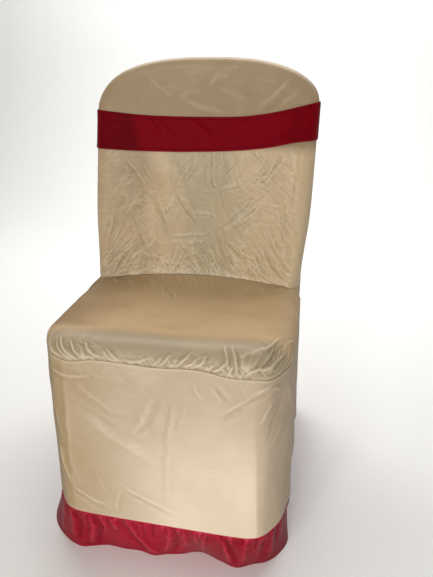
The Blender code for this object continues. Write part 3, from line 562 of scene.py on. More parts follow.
def crushed(first, second, seed):
    """Sharp-crested folds, 0 to 1: one less the softened size of bent noise, squared."""
    bend = 0.55 * gradient_noise(first * 0.6 + 7.3, second * 0.6 + 2.1, seed + 1)
    noise = gradient_noise(first + bend, second - bend, seed)
    return (1.0 - np.minimum(np.sqrt(noise**2 + 0.004), 1.0))**2


def fan_push(first, second, fans, seed):
    """Folds that run out of an apex: crushed() over angle and radius, inside an oval window."""
    push = np.zeros(np.shape(first))
    for number, row in enumerate(np.array(fans) * MM):
        apex_x, apex_z, middle_x, middle_z, reach_x, reach_z, across, along, height = row
        radius = np.hypot(first - apex_x, second - apex_z)
        angle = np.arctan2(second - apex_z, first - apex_x)
        typical = math.hypot(middle_x - apex_x, middle_z - apex_z)
        window = np.hypot((first - middle_x) / reach_x, (second - middle_z) / reach_z)
        folds = crushed(angle * typical / across, radius / along, seed + 10 * number)
        push += height * folds * smooth(1.4 - window)
    return push


def crumple(first, second, waves, seed):
    """Crushed cloth without a main direction: crushed() at several sizes."""
    push = np.zeros(np.shape(first))
    for number, (size, height, turn) in enumerate(waves):
        angle = math.radians(turn)
        across = (first * math.cos(angle) + second * math.sin(angle)) / size
        along = (second * math.cos(angle) - first * math.sin(angle)) / (1.7 * size)
        patches = smooth(0.5 + gradient_noise(across * 0.35, along * 0.35, seed + 77 + number))
        folds = crushed(across, along, seed + 5 * number) - 0.35
        push += height * (0.35 + 0.65 * patches) * folds
    return push


def length_along(line):
    """Distance from the first point to each point of a line."""
    steps = np.linalg.norm(np.diff(line, axis=0), axis=1)
    return np.concatenate(((0.0,), np.cumsum(steps)))


def row_lengths(points):
    """Distance of each point from the first row, measured up its column."""
    steps = np.linalg.norm(np.diff(points, axis=1), axis=2)
    return np.concatenate((np.zeros((len(points), 1)), np.cumsum(steps, axis=1)), axis=1)


def level(directions):
    """Directions turned level and made one long."""
    flat = directions * np.array((1.0, 1.0, 0.0))
    return flat / np.linalg.norm(flat, axis=-1, keepdims=True)


def with_lap(points, outward):
    """Two more rows past the last: a step inwards, then cloth that runs on under its neighbour."""
    edge = points[:, -1]
    onward = edge - points[:, -2]
    onward /= np.linalg.norm(onward, axis=1, keepdims=True)
    under = edge - outward * LAP_DROP
    rows = [(under + onward * reach)[:, None] for reach in (LAP_STEP, LAP_REACH)]
    return np.concatenate((points, *rows), axis=1)


def with_side_laps(points):
    """Two more columns past both ends, which run on under the rear."""
    across = points.transpose(1, 0, 2)
    aside = np.array((1.0, 0.0, 0.0))
    right = with_lap(across, aside)[:, len(points):]
    left = with_lap(across[:, ::-1], -aside)[:, len(points):]
    return np.concatenate((left.transpose(1, 0, 2)[::-1], points, right.transpose(1, 0, 2)))


def tuck(distance, size=SEAM_TUCK):
    """Cloth drawn in beside a seam."""
    depth, width = size
    return -depth * np.exp(-(distance / width)**2)


# ---- Shape of the back --------------------------------------------------------------------------
def arch_height(nominal_x):
    """Superellipse over the shoulders."""
    across = np.clip(np.abs(nominal_x) / BACK_HALF_WIDTH, 0.0, 1.0)
    rise = OVERALL_HEIGHT - SHOULDER_HEIGHT
    return SHOULDER_HEIGHT + rise * (1.0 - across**ARCH_POWER)**(1.0 / ARCH_POWER)


def outline_half_width(height):
    """Half width of the back's front view, arch included."""
    rise = np.clip((height - SHOULDER_HEIGHT) / (OVERALL_HEIGHT - SHOULDER_HEIGHT), 0.0, 1.0)
    below = back_size("half_width", np.minimum(height, SHOULDER_HEIGHT))
    return below * (1.0 - rise**ARCH_POWER)**(1.0 / ARCH_POWER)


def back_inset(x, height):
    """Distance of a point inside the back's front view from its outline, to first order."""
    half = back_size("half_width", np.minimum(height, SHOULDER_HEIGHT))
    arch = OVERALL_HEIGHT - SHOULDER_HEIGHT
    rise = np.clip((height - SHOULDER_HEIGHT) / arch, 0.0, None)
    across = np.abs(x) / half
    radius = np.maximum((across**ARCH_POWER + rise**ARCH_POWER)**(1.0 / ARCH_POWER), 1e-6)
    slope_x = (across / radius)**(ARCH_POWER - 1.0) / half
    slope_z = (rise / radius)**(ARCH_POWER - 1.0) / arch
    return np.maximum((1.0 - radius) / np.maximum(np.hypot(slope_x, slope_z), 1e-6), 0.0)


def face_depth(x, height):
    """Y of the face: leaning back, hollow across, rolled round to the seam."""
    rolled = round_over(back_inset(x, height), BACK_ROUND, BACK_ROUND_POWER)
    across = np.clip(np.abs(x) / back_size("half_width", height), 0.0, 1.0)
    face = back_size("face_y", height) + back_size("hollow", height) * (1.0 - across**2)
    seam = back_size("seam_y", height)
    return seam - (seam - face) * rolled


def rear_depth(x, height):
    """Y of the rear, rolled round to the same seam."""
    rolled = round_over(back_inset(x, height), BACK_ROUND, BACK_ROUND_POWER)
    seam = back_size("seam_y", height)
    return seam + (back_size("rear_y", height) - seam) * rolled


def arch_shift(height):
    """Sideways shift of the back above its shoulders."""
    return ARCH_SHIFT * smooth((height - SHOULDER_HEIGHT) / 0.06)


def nominal_x(column):
    """X at shoulder width of a column: even across the flat, by angle round the edge."""
    flat = np.clip(np.abs(column) / FLAT_COLUMNS, 0.0, 1.0) * (BACK_HALF_WIDTH - BACK_ROUND)
    turn = np.clip((np.abs(column) - FLAT_COLUMNS) / ROUND_COLUMNS, 0.0, 1.0) * math.pi / 2.0
    rolled = BACK_ROUND * np.sin(turn)**(2.0 / BACK_ROUND_POWER)
    return np.sign(column) * (flat + rolled)


def back_columns(per_column, per_round):
    """Column places from one side seam to the other, finer round the edges."""
    flat = np.linspace(0.0, FLAT_COLUMNS, FLAT_COLUMNS * per_column + 1)
    rolled = np.linspace(FLAT_COLUMNS, ALL_COLUMNS, ROUND_COLUMNS * per_round + 1)[1:]
    half = np.concatenate((flat, rolled))
    return np.concatenate((-half[:0:-1], half))


def back_grid(columns, foot_height, straight, round_rows):
    """X and height of a back piece's grid, from its foot to the arched seam."""
    nominal = nominal_x(columns)[:, None]
    turn = np.linspace(0.0, math.pi / 2.0, round_rows + 1)[1:]
    rolled = np.concatenate((np.zeros(len(straight)), np.sin(turn)**(2.0 / BACK_ROUND_POWER)))
    straight = np.concatenate((straight, np.ones(round_rows)))
    top = arch_height(nominal)
    height = foot_height + (top - BACK_ROUND - foot_height) * straight + BACK_ROUND * rolled
    half = back_size("half_width", np.minimum(height, SHOULDER_HEIGHT))
    return nominal / BACK_HALF_WIDTH * half, height


# ---- Shape of the seat and skirt ----------------------------------------------------------------
def plan_outline(plan, front_height, side_height):
    """Control points of half the skirt's outline at one level, front middle to side seam."""
    front_y, corner_x, corner_y, side_x = plan
    rear_x = float(back_size("half_width", side_height))
    rows = (
        (0.0, front_y, 0.0),
        (0.35 * corner_x, front_y, 0.0),
        (0.70 * corner_x, front_y, 0.0),
        (corner_x, front_y + 0.002, 0.0),
        (corner_x + 0.45 * (side_x - corner_x), corner_y - 0.004, 0.1),
        (side_x, corner_y + 0.045, 0.2),
        (side_x + 0.001, -0.10, 0.5),
        (0.6 * side_x + 0.4 * rear_x, 0.0, 0.8),
        (rear_x + 0.001, 0.09, 1.0),
        (rear_x, 0.13, 1.0),
        (rear_x, 0.18, 1.0),
        (rear_x, SIDE_SEAM_Y, 1.0),
    )
    points = np.array(rows)
    points[:, 2] = front_height + (side_height - front_height) * points[:, 2]
    return points


def mirrored(points, station):
    """Point of the outline for station -1 to 1, left to right."""
    found = soft_outline(points, np.abs(station))
    found[..., 0] *= np.where(station < 0.0, -1.0, 1.0)
    return found


SKIRT_TOP = plan_outline(SKIRT_TOP_PLAN, SKIRT_TOP_FRONT, SIDE_SEAM_HEIGHT)
BORDER_TOP = plan_outline(BORDER_TOP_PLAN, BORDER_HEIGHT, BORDER_HEIGHT)


def seam_rise(x, y):
    """Rise of the seat seam along the front, fading out round the corners."""
    facing = smooth((FACING_Y + FACING_RUN - y) / FACING_RUN)
    return through(SEAM_RISES[:, 0], SEAM_RISES[:, 1], x) * facing


def seat_seam(stations):
    """Seat seam for stations -1 to 1, left to right."""
    seam = mirrored(SKIRT_TOP, stations)
    seam[..., 2] += seam_rise(seam[..., 0], seam[..., 1])
    return seam


def seam_distance(x, y):
    """Distance in plan from the seat seam, and its height at the nearest place."""
    line = soft_outline(SKIRT_TOP, np.linspace(0.0, 1.0, SEAM_POINTS))
    start = line[:-1]
    run = line[1:] - start
    away = np.full(np.shape(x), np.inf)
    height = np.zeros(np.shape(x))
    for (x0, y0, z0), (dx, dy, dz) in zip(start, run):
        t = np.clip(((np.abs(x) - x0) * dx + (y - y0) * dy) / (dx * dx + dy * dy), 0.0, 1.0)
        here = np.hypot(np.abs(x) - x0 - t * dx, y - y0 - t * dy)
        height = np.where(here < away, z0 + t * dz, height)
        away = np.minimum(here, away)
    return away, height + seam_rise(x, y)


def seat_surface(x, y):
    """Height of the seat's top before its edges roll down."""
    back = np.clip((y - SKIRT_TOP_PLAN[0]) / SEAT_DEPTH, 0.0, 1.0)
    across = np.clip(np.abs(x) / BACK_HALF_WIDTH, 0.0, 1.0)
    plain = SEAT_FRONT_HEIGHT + (SEAT_REAR_HEIGHT - SEAT_FRONT_HEIGHT) * back
    dish = SEAT_DISH * np.sin(math.pi * back) * (1.0 - across**2)
    return plain - dish + SEAT_RISE * smooth((back - 0.72) / 0.28) * (1.0 - across**2)


def seat_height(x, y):
    """Height of the seat with its rolled edge."""
    inset, seam = seam_distance(x, y)
    return seam + (seat_surface(x, y) - seam) * round_over(inset, SEAT_ROUND, SEAT_ROUND_POWER)


def back_foot(columns):
    """Line where the face of the back meets the seat, one point a column."""
    nominal = nominal_x(columns)
    height = np.full(nominal.shape, SEAT_REAR_HEIGHT)
    for _ in range(FOOT_ROUNDS):
        x = nominal / BACK_HALF_WIDTH * back_size("half_width", height)
        y = face_depth(x, height)
        height = seat_height(x, y)
    return np.stack((x, y, height), axis=-1)


# ---- Cut pieces on fine grids -------------------------------------------------------------------
def sash_edges(x, behind=False):
    """Heights of the sash's two edges: through the table on the face, straight across behind."""
    if behind:
        swing = (x + BACK_HALF_WIDTH) / (2.0 * BACK_HALF_WIDTH)
        return [left + (right - left) * swing for left, right in SASH_EDGES[(0, -1), 1:].T]
    return [through(SASH_EDGES[:, 0], heights, x) for heights in SASH_EDGES[:, 1:].T]


def off_sash(height, middle, run):
    """0 where the sash presses the cloth flat, 1 from the given run past it."""
    return smooth((np.abs(height - middle) - SASH_PRESS) / run)


def seat_columns(steps):
    """Column places across the front of the seat and the skirt."""
    return np.linspace(-SEAT_END_COLUMN, SEAT_END_COLUMN, 2 * SEAT_END_COLUMN * steps + 1)


def face_piece():
    """Face of the back: crushed between sash and seat, smooth above the sash."""
    columns = back_columns(FACE_STEPS, FACE_ROUND_STEPS)
    foot = back_foot(columns)
    crushed_rows = np.linspace(0.0, CRUSHED_SHARE, CRUSHED_ROWS)
    rows = np.concatenate((crushed_rows, np.linspace(CRUSHED_SHARE, 1.0, SMOOTH_ROWS)[1:]))
    x, height = back_grid(columns, foot[:, 2:3], rows, FACE_ROUND_ROWS)
    points = np.stack((x, face_depth(x, height), height), axis=-1)
    points[:, 0] = foot
    rise = height - foot[:, 2:3]
    clear = smooth(np.minimum(rise, back_inset(x, height)) / FACE_CLEAR)
    lower, upper = sash_edges(x)
    middle = 0.5 * (lower + upper)
    below = smooth((middle - height) / BELOW_SASH_RUN)
    push = FACE_CREASE_SCALE * crease_push(x, height, FACE_CREASES, KEEN_CREST) * below
    push += crease_push(x, height, TOP_CREASES, SOFT_CREST)
    fans = fan_push(x, height, FACE_FANS, FACE_FAN_SEED)
    push += (fans + crumple(x, height, FACE_CRUMPLE, FACE_SEED)) * below
    push += crumple(x, height, TOP_CRUMPLE, TOP_SEED) * (1.0 - below)
    push *= clear * off_sash(height, middle, FACE_PRESS_RUN)
    push += tuck(rise, FACE_FOOT_TUCK)
    points += normals(points) * push[..., None]
    points[..., 0] += arch_shift(height)
    at_seam = points[..., 1] > back_size("seam_y", height) - SEAM_REACH
    points[..., 1] -= SEAM_GAP / 2.0 * at_seam
    lean = nominal_x(columns) / BACK_HALF_WIDTH
    rim = np.stack((lean, 0.0 * lean, 1.0 + 0.0 * lean), axis=-1)
    rim /= np.linalg.norm(rim, axis=1, keepdims=True)
    return with_side_laps(with_lap(points, rim))


def rear_piece():
    """Rear of the cover: hanging in soft upright folds that open towards the border."""
    columns = back_columns(REAR_STEPS, REAR_ROUND_STEPS)
    rows = np.linspace(0.0, 1.0, REAR_ROWS)
    x, height = back_grid(columns, BORDER_HEIGHT + SEAM_GAP, rows, REAR_ROUND_ROWS)
    points = np.stack((x, rear_depth(x, height), height), axis=-1)
    edge = smooth(back_inset(x, height) / REAR_CLEAR)
    hang = smooth((HANG_START - height) / HANG_RUN) * edge
    rise = height - BORDER_HEIGHT
    lower, upper = sash_edges(x, behind=True)
    pressed = off_sash(height, 0.5 * (lower + upper), REAR_PRESS_RUN)
    push = crease_push(x, height, REAR_CREASES, SOFT_CREST)
    push += crumple(x, height, REAR_CRUMPLE, REAR_SEED)
    push = push * edge * pressed * smooth(rise / REAR_FOOT_CLEAR) + tuck(rise)
    points[..., 0] += arch_shift(height)
    points[..., 1] += bell_push(x, REAR_FOLDS) * hang + SEAM_GAP / 2.0 + push
    return points


def seat_piece():
    """Seat: dished top, rolled edges gathered into the skirt seam, pleats at the back's foot."""
    columns = seat_columns(SEAT_STEPS)
    outer = seat_seam(columns / SEAT_END_COLUMN * SEAT_END_STATION)
    inner = back_foot(columns)
    run = inner - outer
    reach = np.linalg.norm(run[:, :2], axis=1)
    inner = outer + run * ((reach - SEAT_SETBACK) / reach)[:, None]
    run = inner - outer
    edge_share = np.minimum(SEAT_ROUND / reach, SEAT_ROLL_LIMIT)[:, None]
    turn = np.linspace(0.0, math.pi / 2.0, SEAT_ROUND_ROWS)
    rolled = 1.0 - np.cos(turn)**(2.0 / SEAT_ROUND_POWER)
    plain = np.linspace(0.0, 1.0, SEAT_TOP_ROWS)[1:]
    share = np.concatenate((edge_share * rolled, edge_share + (1.0 - edge_share) * plain), axis=1)
    points = outer[:, None] + run[:, None] * share[..., None]
    # The seat's ends beside the back level out into a straight run from seam to foot.
    straight = points[..., 2].copy()
    x, y = points[..., 0].copy(), points[..., 1].copy()
    points[..., 2] = seat_height(x, y)
    into_end = np.abs(columns) - SEAT_END_COLUMN + SEAT_END_COLUMNS
    ending = smooth(into_end / SEAT_END_COLUMNS)[:, None]
    points[..., 2] += (straight - points[..., 2]) * ending
    points[:, 0, 2] = outer[:, 2]
    points[:, -1, 2] = inner[:, 2]
    # Gathers are placed along the skirt seam and by their distance up from it.
    up = row_lengths(points)
    seam_line = length_along(outer)
    seam_line -= seam_line[len(seam_line) // 2]
    along = np.repeat(seam_line[:, None], points.shape[1], axis=1)
    clear = smooth(np.minimum(share, 1.0 - share) * reach[:, None] / SEAT_CLEAR)
    push = crease_push(x, y, SEAT_CREASES, SOFT_CREST) * clear
    push += crumple(x, y, SEAT_CRUMPLE, SEAT_SEED) * clear
    gathers = crease_push(along, up, GATHER_CREASES, GATHER_CREST)
    gathers += fan_push(along, up, GATHER_FANS, GATHER_FAN_SEED)
    push += gathers * (1.0 - SEAT_END_CALM * ending) * smooth(up / GATHER_CLEAR)
    push += tuck(up, SEAT_SEAM_TUCK) + tuck(up[:, -1:] - up, SEAT_FOOT_TUCK) * (1.0 - ending)
    points += normals(points) * push[..., None]
    return with_lap(points, np.array((0.0, 0.0, 1.0)))


def skirt_edges():
    """Upper and lower edge of the skirt, point for point, from side seam to side seam."""
    stations = seat_columns(SKIRT_STEPS) / SEAT_END_COLUMN * SEAT_END_STATION
    front = seat_seam(stations)
    beside = back_foot(np.linspace(SEAT_END_COLUMN, ALL_COLUMNS, BESIDE_POINTS))
    bridge = np.linspace(0.0, 1.0, BRIDGE_POINTS)[1:-1, None]
    bridge = front[-1] * (1.0 - bridge) + beside[0] * bridge
    beside = np.concatenate((bridge, beside))
    # The lower edge takes each station where the outline above it reaches the same y.
    fine = np.linspace(0.0, 1.0, OUTLINE_POINTS)
    beside_stations = np.interp(beside[:, 1], soft_outline(SKIRT_TOP, fine)[:, 1], fine)
    top = np.concatenate((beside[::-1] * np.array((-1.0, 1.0, 1.0)), front, beside))
    stations = np.concatenate((-beside_stations[::-1], stations, beside_stations))
    bottom = mirrored(BORDER_TOP, stations)
    bottom[:, 1] -= SKIRT_SKEW * bottom[:, 0] * smooth((-0.10 - bottom[:, 1]) / 0.12)
    top[:, 2] -= SEAM_GAP
    bottom[:, 2] += SEAM_GAP
    return top, bottom


def skirt_piece():
    """Skirt: front and both sides, hanging from the seat seam to the border."""
    top, bottom = skirt_edges()
    share = np.linspace(0.0, 1.0, SKIRT_ROWS)[None, :]
    points = top[:, None] * (1.0 - share[..., None]) + bottom[:, None] * share[..., None]
    clear = smooth(np.minimum(share, 1.0 - share) * SKIRT_CLEAR_RATE)
    facing = smooth((FACING_Y - points[..., 1]) / FACING_RUN)
    x, y, height = np.moveaxis(points, -1, 0)
    push = crease_push(x, height, SKIRT_CREASES, PLAIN_CREST) * facing * clear
    beside_seam = smooth((SIDE_SEAM_Y - y) / SIDE_CLEAR)
    sides = bell_push(y, SIDE_FOLDS) * share + crease_push(y, height, SIDE_CREASES, SOFT_CREST)
    push += sides * (1.0 - facing) * beside_seam * clear
    push += crumple(x + y, height, SKIRT_CRUMPLE, SKIRT_SEED) * clear * beside_seam
    down = row_lengths(points)
    push += tuck(down, SKIRT_TOP_TUCK) + tuck(down[:, -1:] - down, SKIRT_FOOT_TUCK)
    outward = -normals(points)
    points += outward * push[..., None]
    points[..., 1] -= SEAM_GAP / 2.0 * (points[..., 1] > SIDE_SEAM_Y - SEAM_REACH)
    return with_side_laps(with_lap(points[:, ::-1], level(outward[:, 0]))[:, ::-1])


def pucker_creases():
    """Short gathers under the border seam: each starts on the seam and fades out below it."""
    rng = np.random.default_rng(PUCKER_SEED)
    places = np.arange(-PUCKER_REACH, PUCKER_REACH, PUCKER_STEP)
    places += rng.uniform(-0.3, 0.3, len(places)) * PUCKER_STEP
    rows = []
    for number, place in enumerate(places):
        foot = PUCKER_FOOT - rng.uniform(18.0, 52.0)
        end = place + rng.uniform(-9.0, 9.0)
        height = rng.uniform(0.8, 2.4) * (1.0 if number % 2 else -1.0)
        bow = rng.uniform(-2.0, 2.0)
        rows.append((place, PUCKER_START, end, foot, bow, rng.uniform(4.0, 7.0), height))
    return tuple(rows)


def border_piece(skirt_points, rear_points):
    """Border: a loop sewn to the skirt and the rear, puckered at the seam, waved at the floor."""
    skirt_edge = skirt_points[SIDE_LAP_COLUMNS:-SIDE_LAP_COLUMNS, -1]
    loop = np.concatenate((skirt_edge, rear_points[::-1, 0][1:-1], skirt_edge[:1]))
    loop[:, 2] = BORDER_HEIGHT - SEAM_GAP / 2.0
    along = length_along(loop)
    round_length = along[-1]
    steps = np.arange(BORDER_COLUMNS) / BORDER_COLUMNS * round_length
    top = np.stack([np.interp(steps, along, values) for values in loop.T], axis=-1)
    # Places count both ways from the middle of the front.
    half = round_length / 2.0
    place = (steps - along[len(skirt_edge) // 2] + half) % round_length - half
    tangent = np.roll(top, -TANGENT_STEPS, axis=0) - np.roll(top, TANGENT_STEPS, axis=0)
    outward = np.stack((tangent[:, 1], -tangent[:, 0], np.zeros(BORDER_COLUMNS)), axis=-1)
    outward /= np.linalg.norm(outward, axis=1, keepdims=True)
    share = np.linspace(0.0, 1.0, BORDER_ROWS)[None, :]
    lean = through(HEM_LEAN[:, 0], HEM_LEAN[:, 1], place) + bell_push(place, HEM_WAVES)
    push = lean[:, None] * share**HEM_LEAN_POWER
    height = top[:, 2:3] * (1.0 - share)
    across = np.repeat(place[:, None], BORDER_ROWS, axis=1)
    creases = crease_push(across, height, BORDER_CREASES + pucker_creases(), PLAIN_CREST)
    push += creases * smooth(share * BORDER_CLEAR_RATE)
    push += tuck(BORDER_HEIGHT - height)
    points = top[:, None] + outward[:, None] * push[..., None]
    points[..., 2] = height
    return with_lap(points[:, ::-1], outward)[:, ::-1]


def sash_piece():
    """Sash: a plain band round the back, its two long edges turned under."""
    across = nominal_x(back_columns(SASH_STEPS, SASH_ROUND_STEPS))[:, None]
    share = np.linspace(0.0, 1.0, SASH_ROWS)[None, :]
    sides = []
    for nominal, behind, depth in ((across, False, face_depth), (across[1:-1], True, rear_depth)):
        lower, upper = sash_edges(nominal, behind)
        height = lower + (upper - lower) * share
        x = nominal / BACK_HALF_WIDTH * outline_half_width(height)
        sides.append(np.stack((x, depth(x, height), height), axis=-1))
    points = np.concatenate((sides[0], sides[1][::-1]))
    points[..., 0] += arch_shift(points[..., 2])
    x, y, height = np.moveaxis(points, -1, 0)
    width = np.abs(share - 0.5) * 2.0
    push = crease_push(x, height, SASH_CREASES, PLAIN_CREST) * (y < SASH_FACE_END_Y)
    push = SASH_LIFT + push * smooth((1.0 - width) / SASH_CLEAR)
    for roll, start, run in SASH_ROLLS:
        push += roll * smooth((width - start) / run)
    return points + normals(points, closed=True) * push[..., None]


# ---- Materials ----------------------------------------------------------------------------------
class Graph:
    """Adds nodes to one tree. Their inputs are constants or other nodes' outputs."""

    def __init__(self, tree):
        self.tree = tree

    def feed(self, node, inputs):
        """Set each named or numbered input to its constant, or join it to its output."""
        for key, value in inputs.items():
            if isinstance(value, bpy.types.NodeSocket):
                self.tree.links.new(value, node.inputs[key])
            else:
                node.inputs[key].default_value = value

    def add(self, kind, inputs=None, **settings):
        """New node with its settings and inputs."""
        node = self.tree.nodes.new(kind)
        for key, value in settings.items():
            setattr(node, key, value)
        self.feed(node, inputs or {})
        return node

    def math(self, operation, *values):
        """Result of one math operation."""
        return self.add("ShaderNodeMath", dict(enumerate(values)), operation=operation).outputs[0]

    def times(self, first, second):
        """Product."""
        return self.math("MULTIPLY", first, second)

    def plus(self, first, second):
        """Sum."""
        return self.math("ADD", first, second)

    def mix(self, first, second, share):
        """First colour with a share of the second, which is a fixed colour; share held to 0-1."""
        inputs = {6: first, 7: (*second, 1.0), "Factor": share}
        return self.add("ShaderNodeMix", inputs, data_type="RGBA", clamp_factor=True).outputs[2]

    def fade(self, value, start, end, start_result, end_result):
        """Smooth change from one result to the other while the value runs from start to end."""
        inputs = {"Value": value, "From Min": start, "From Max": end,
                  "To Min": start_result, "To Max": end_result}
        node = self.add("ShaderNodeMapRange", inputs, interpolation_type="SMOOTHSTEP")
        return node.outputs["Result"]

    def noise(self, vector, scale, detail, roughness=0.5, distortion=0.0):
        """Soft noise, 0 to 1 about 0.5."""
        inputs = {"Vector": vector, "Scale": scale, "Detail": detail, "Roughness": roughness,
                  "Distortion": distortion}
        return self.add("ShaderNodeTexNoise", inputs).outputs["Fac"]

    def bump(self, height, distance, strength, inputs=None):
        """Normal bent by a height of the given size; inputs may hold the normal under it."""
        inputs = {"Height": height, "Distance": distance, "Strength": strength, **(inputs or {})}
        return self.add("ShaderNodeBump", inputs).outputs["Normal"]

    def attribute(self, name):
        """The mesh's mask of this name."""
        return self.add("ShaderNodeAttribute", attribute_name=name).outputs["Fac"]

    def cloth_place(self):
        """Metres along the cloth's columns and up its rows."""
        place = self.add("ShaderNodeUVMap", uv_map="cloth_metres").outputs["UV"]
        parts = self.add("ShaderNodeSeparateXYZ", {0: place}).outputs
        return parts["X"], parts["Y"]


def effect_group(name, inputs, outputs):
    """Graph of a new node group whose inputs and outputs are numbers of these names."""
    tree = bpy.data.node_groups.new(name, "ShaderNodeTree")
    for direction, labels in (("INPUT", inputs), ("OUTPUT", outputs)):
        for label in labels:
            tree.interface.new_socket(name=label, in_out=direction, socket_type="NodeSocketFloat")
    return Graph(tree)


def satin_weave_group():
    """Group: warp floats of a satin weave as a height, and slow unevenness as masks.

    The height is a share of a sine across the warp plus a share of a slower sine along it, which
    shifts from thread to thread. The masks are soft noise, and noise drawn out along the width
    for slubs, which are thick places in the thread."""
    graph = effect_group("satin_weave", ("Threads per metre",), ("Height", "Cloudiness", "Slubs"))
    threads = graph.add("NodeGroupInput").outputs["Threads per metre"]
    across, along = graph.cloth_place()
    turns = graph.times(threads, 2.0 * math.pi)
    warp = graph.math("SINE", graph.times(across, turns))
    shift = graph.times(graph.math("FLOOR", graph.times(across, threads)), FLOAT_SHIFT)
    float_turns = graph.times(along, graph.times(turns, FLOAT_RATE))
    floats = graph.math("SINE", graph.plus(float_turns, shift))
    where = graph.add("ShaderNodeTexCoord").outputs["Object"]
    drawn_out = {axis: graph.times(place, rate)
                 for axis, place, rate in zip("XY", (across, along), SLUB_RATES)}
    slubs = graph.add("ShaderNodeCombineXYZ", drawn_out).outputs["Vector"]
    graph.add("NodeGroupOutput", {
        "Height": graph.plus(graph.times(warp, WARP_SHARE), graph.times(floats, FLOAT_SHARE)),
        "Cloudiness": graph.noise(where, 9.0, 3.0, 0.55),
        "Slubs": graph.noise(slubs, 1.0, 2.0, 0.6),
    })
    return graph.tree


def crush_group():
    """Group: handling creases as a height, sharp where two sizes of bent noise cross their
    middle value, and their thin lines as a mask of painted glints, strong in patches and faint
    between them. The noise reads the UV map "drag", which is squeezed along the pull of the cloth."""
    graph = effect_group("handling_creases", ("Scale",), ("Height", "Glints"))
    scale = graph.add("NodeGroupInput").outputs["Scale"]
    where = graph.add("ShaderNodeTexCoord").outputs["Object"]
    drag = graph.add("ShaderNodeUVMap", uv_map="drag").outputs["UV"]
    heights, lines = [], []
    for rate, weight in CRUSH_SIZES:
        noise = graph.noise(drag, graph.times(scale, rate), 1.0, distortion=CRUSH_BEND)
        ridge = graph.math("ABSOLUTE", graph.math("SUBTRACT", noise, 0.5))
        lines.append(graph.fade(ridge, 0.0, GLINT_LINE_WIDTH * rate, 1.0, 0.0))
        height = graph.math("POWER", graph.times(ridge, 4.0), CRUSH_CREST_POWER)
        heights.append(graph.times(height, -weight))
    inputs = {"Value": graph.noise(where, 11.0, 1.0), "From Min": PATCH_FROM,
              "From Max": PATCH_TO, "To Min": BETWEEN_PATCHES}
    patches = graph.add("ShaderNodeMapRange", inputs).outputs["Result"]
    graph.add("NodeGroupOutput", {
        "Height": graph.times(graph.plus(*heights), patches),
        "Glints": graph.times(graph.math("MAXIMUM", *lines), patches),
    })
    return graph.tree


def hem_stitch_group():
    """Group: a row of stitches where the attribute "stitch", the distance from the row, is 0.

    Threads stand where that distance is small and a sine along the cloth is not low; a soft
    groove lies under them. Puts out their height, and the groove between them as a mask for
    painted shade."""
    graph = effect_group("hem_stitches", (), ("Height", "Groove"))
    distance = graph.attribute("stitch")
    band = graph.fade(distance, 0.0, STITCH_HALF_WIDTH, 1.0, 0.0)
    groove = graph.fade(distance, 0.0, GROOVE_WIDTHS * STITCH_HALF_WIDTH, 1.0, 0.0)
    turn = graph.math("SINE", graph.times(graph.cloth_place()[0], 2.0 * math.pi / STITCH_LENGTH))
    thread = graph.times(band, graph.fade(turn, -0.6, -0.2, 0.0, 1.0))
    graph.add("NodeGroupOutput", {
        "Height": graph.math("SUBTRACT", thread, graph.times(groove, GROOVE_DEPTH)),
        "Groove": graph.math("SUBTRACT", groove, thread),
    })
    return graph.tree


def new_material(name):
    """Material with nodes, its graph and its shader."""
    material = bpy.data.materials.new(name)
    material.use_nodes = True
    return material, Graph(material.node_tree), material.node_tree.nodes["Principled BSDF"]


# Each satin's three tones run from painted shade to painted light or a painted sheen; its crest
# colour is a painted highlight and its crease colour painted shade.
SATIN_COLUMNS = (
    "tones", "crest_highlight", "crease_shade", "roughness", "crushed_roughness", "gloss", "gloss_tint",
    "crush_scale", "crush_depth", "glint_share",
)
SATINS = {
    "face": (
        ((0.440, 0.305, 0.176), (0.760, 0.560, 0.340), (0.590, 0.472, 0.300)),
        (0.930, 0.790, 0.520), (0.300, 0.215, 0.115), 0.42, 0.26, 0.65, (1.0, 0.97, 0.88),
        30.0, 0.0026, 0.75),
    "seat": (
        ((0.350, 0.215, 0.098), (0.600, 0.418, 0.222), (0.400, 0.300, 0.185)),
        (0.930, 0.850, 0.640), (0.250, 0.175, 0.100), 0.46, 0.26, 0.50, (1.0, 0.97, 0.90),
        40.0, 0.0009, 0.95),
    "skirt": (
        ((0.400, 0.275, 0.140), (0.530, 0.412, 0.282), (0.740, 0.615, 0.470)),
        (0.860, 0.740, 0.560), (0.390, 0.285, 0.175), 0.38, 0.32, 0.60, (1.0, 0.98, 0.94),
        18.0, 0.0010, 0.30),
    "sash": (
        ((0.142, 0.0004, 0.003), (0.230, 0.0010, 0.006), (0.250, 0.0014, 0.008)),
        (0.300, 0.004, 0.015), (0.120, 0.0006, 0.003), 0.42, 0.42, 0.20, (1.0, 0.2, 0.3),
        22.0, 0.0008, 0.0),
    "border": (
        ((0.215, 0.0006, 0.007), (0.265, 0.0020, 0.013), (0.320, 0.0060, 0.022)),
        (0.620, 0.045, 0.095), (0.080, 0.0006, 0.004), 0.36, 0.28, 0.80, (1.0, 0.20, 0.30),
        26.0, 0.0016, 0.10),
}
LIGHT_SATINS = ("face", "seat", "skirt")
DARK_SATINS = ("sash", "border")    # with stitched hems


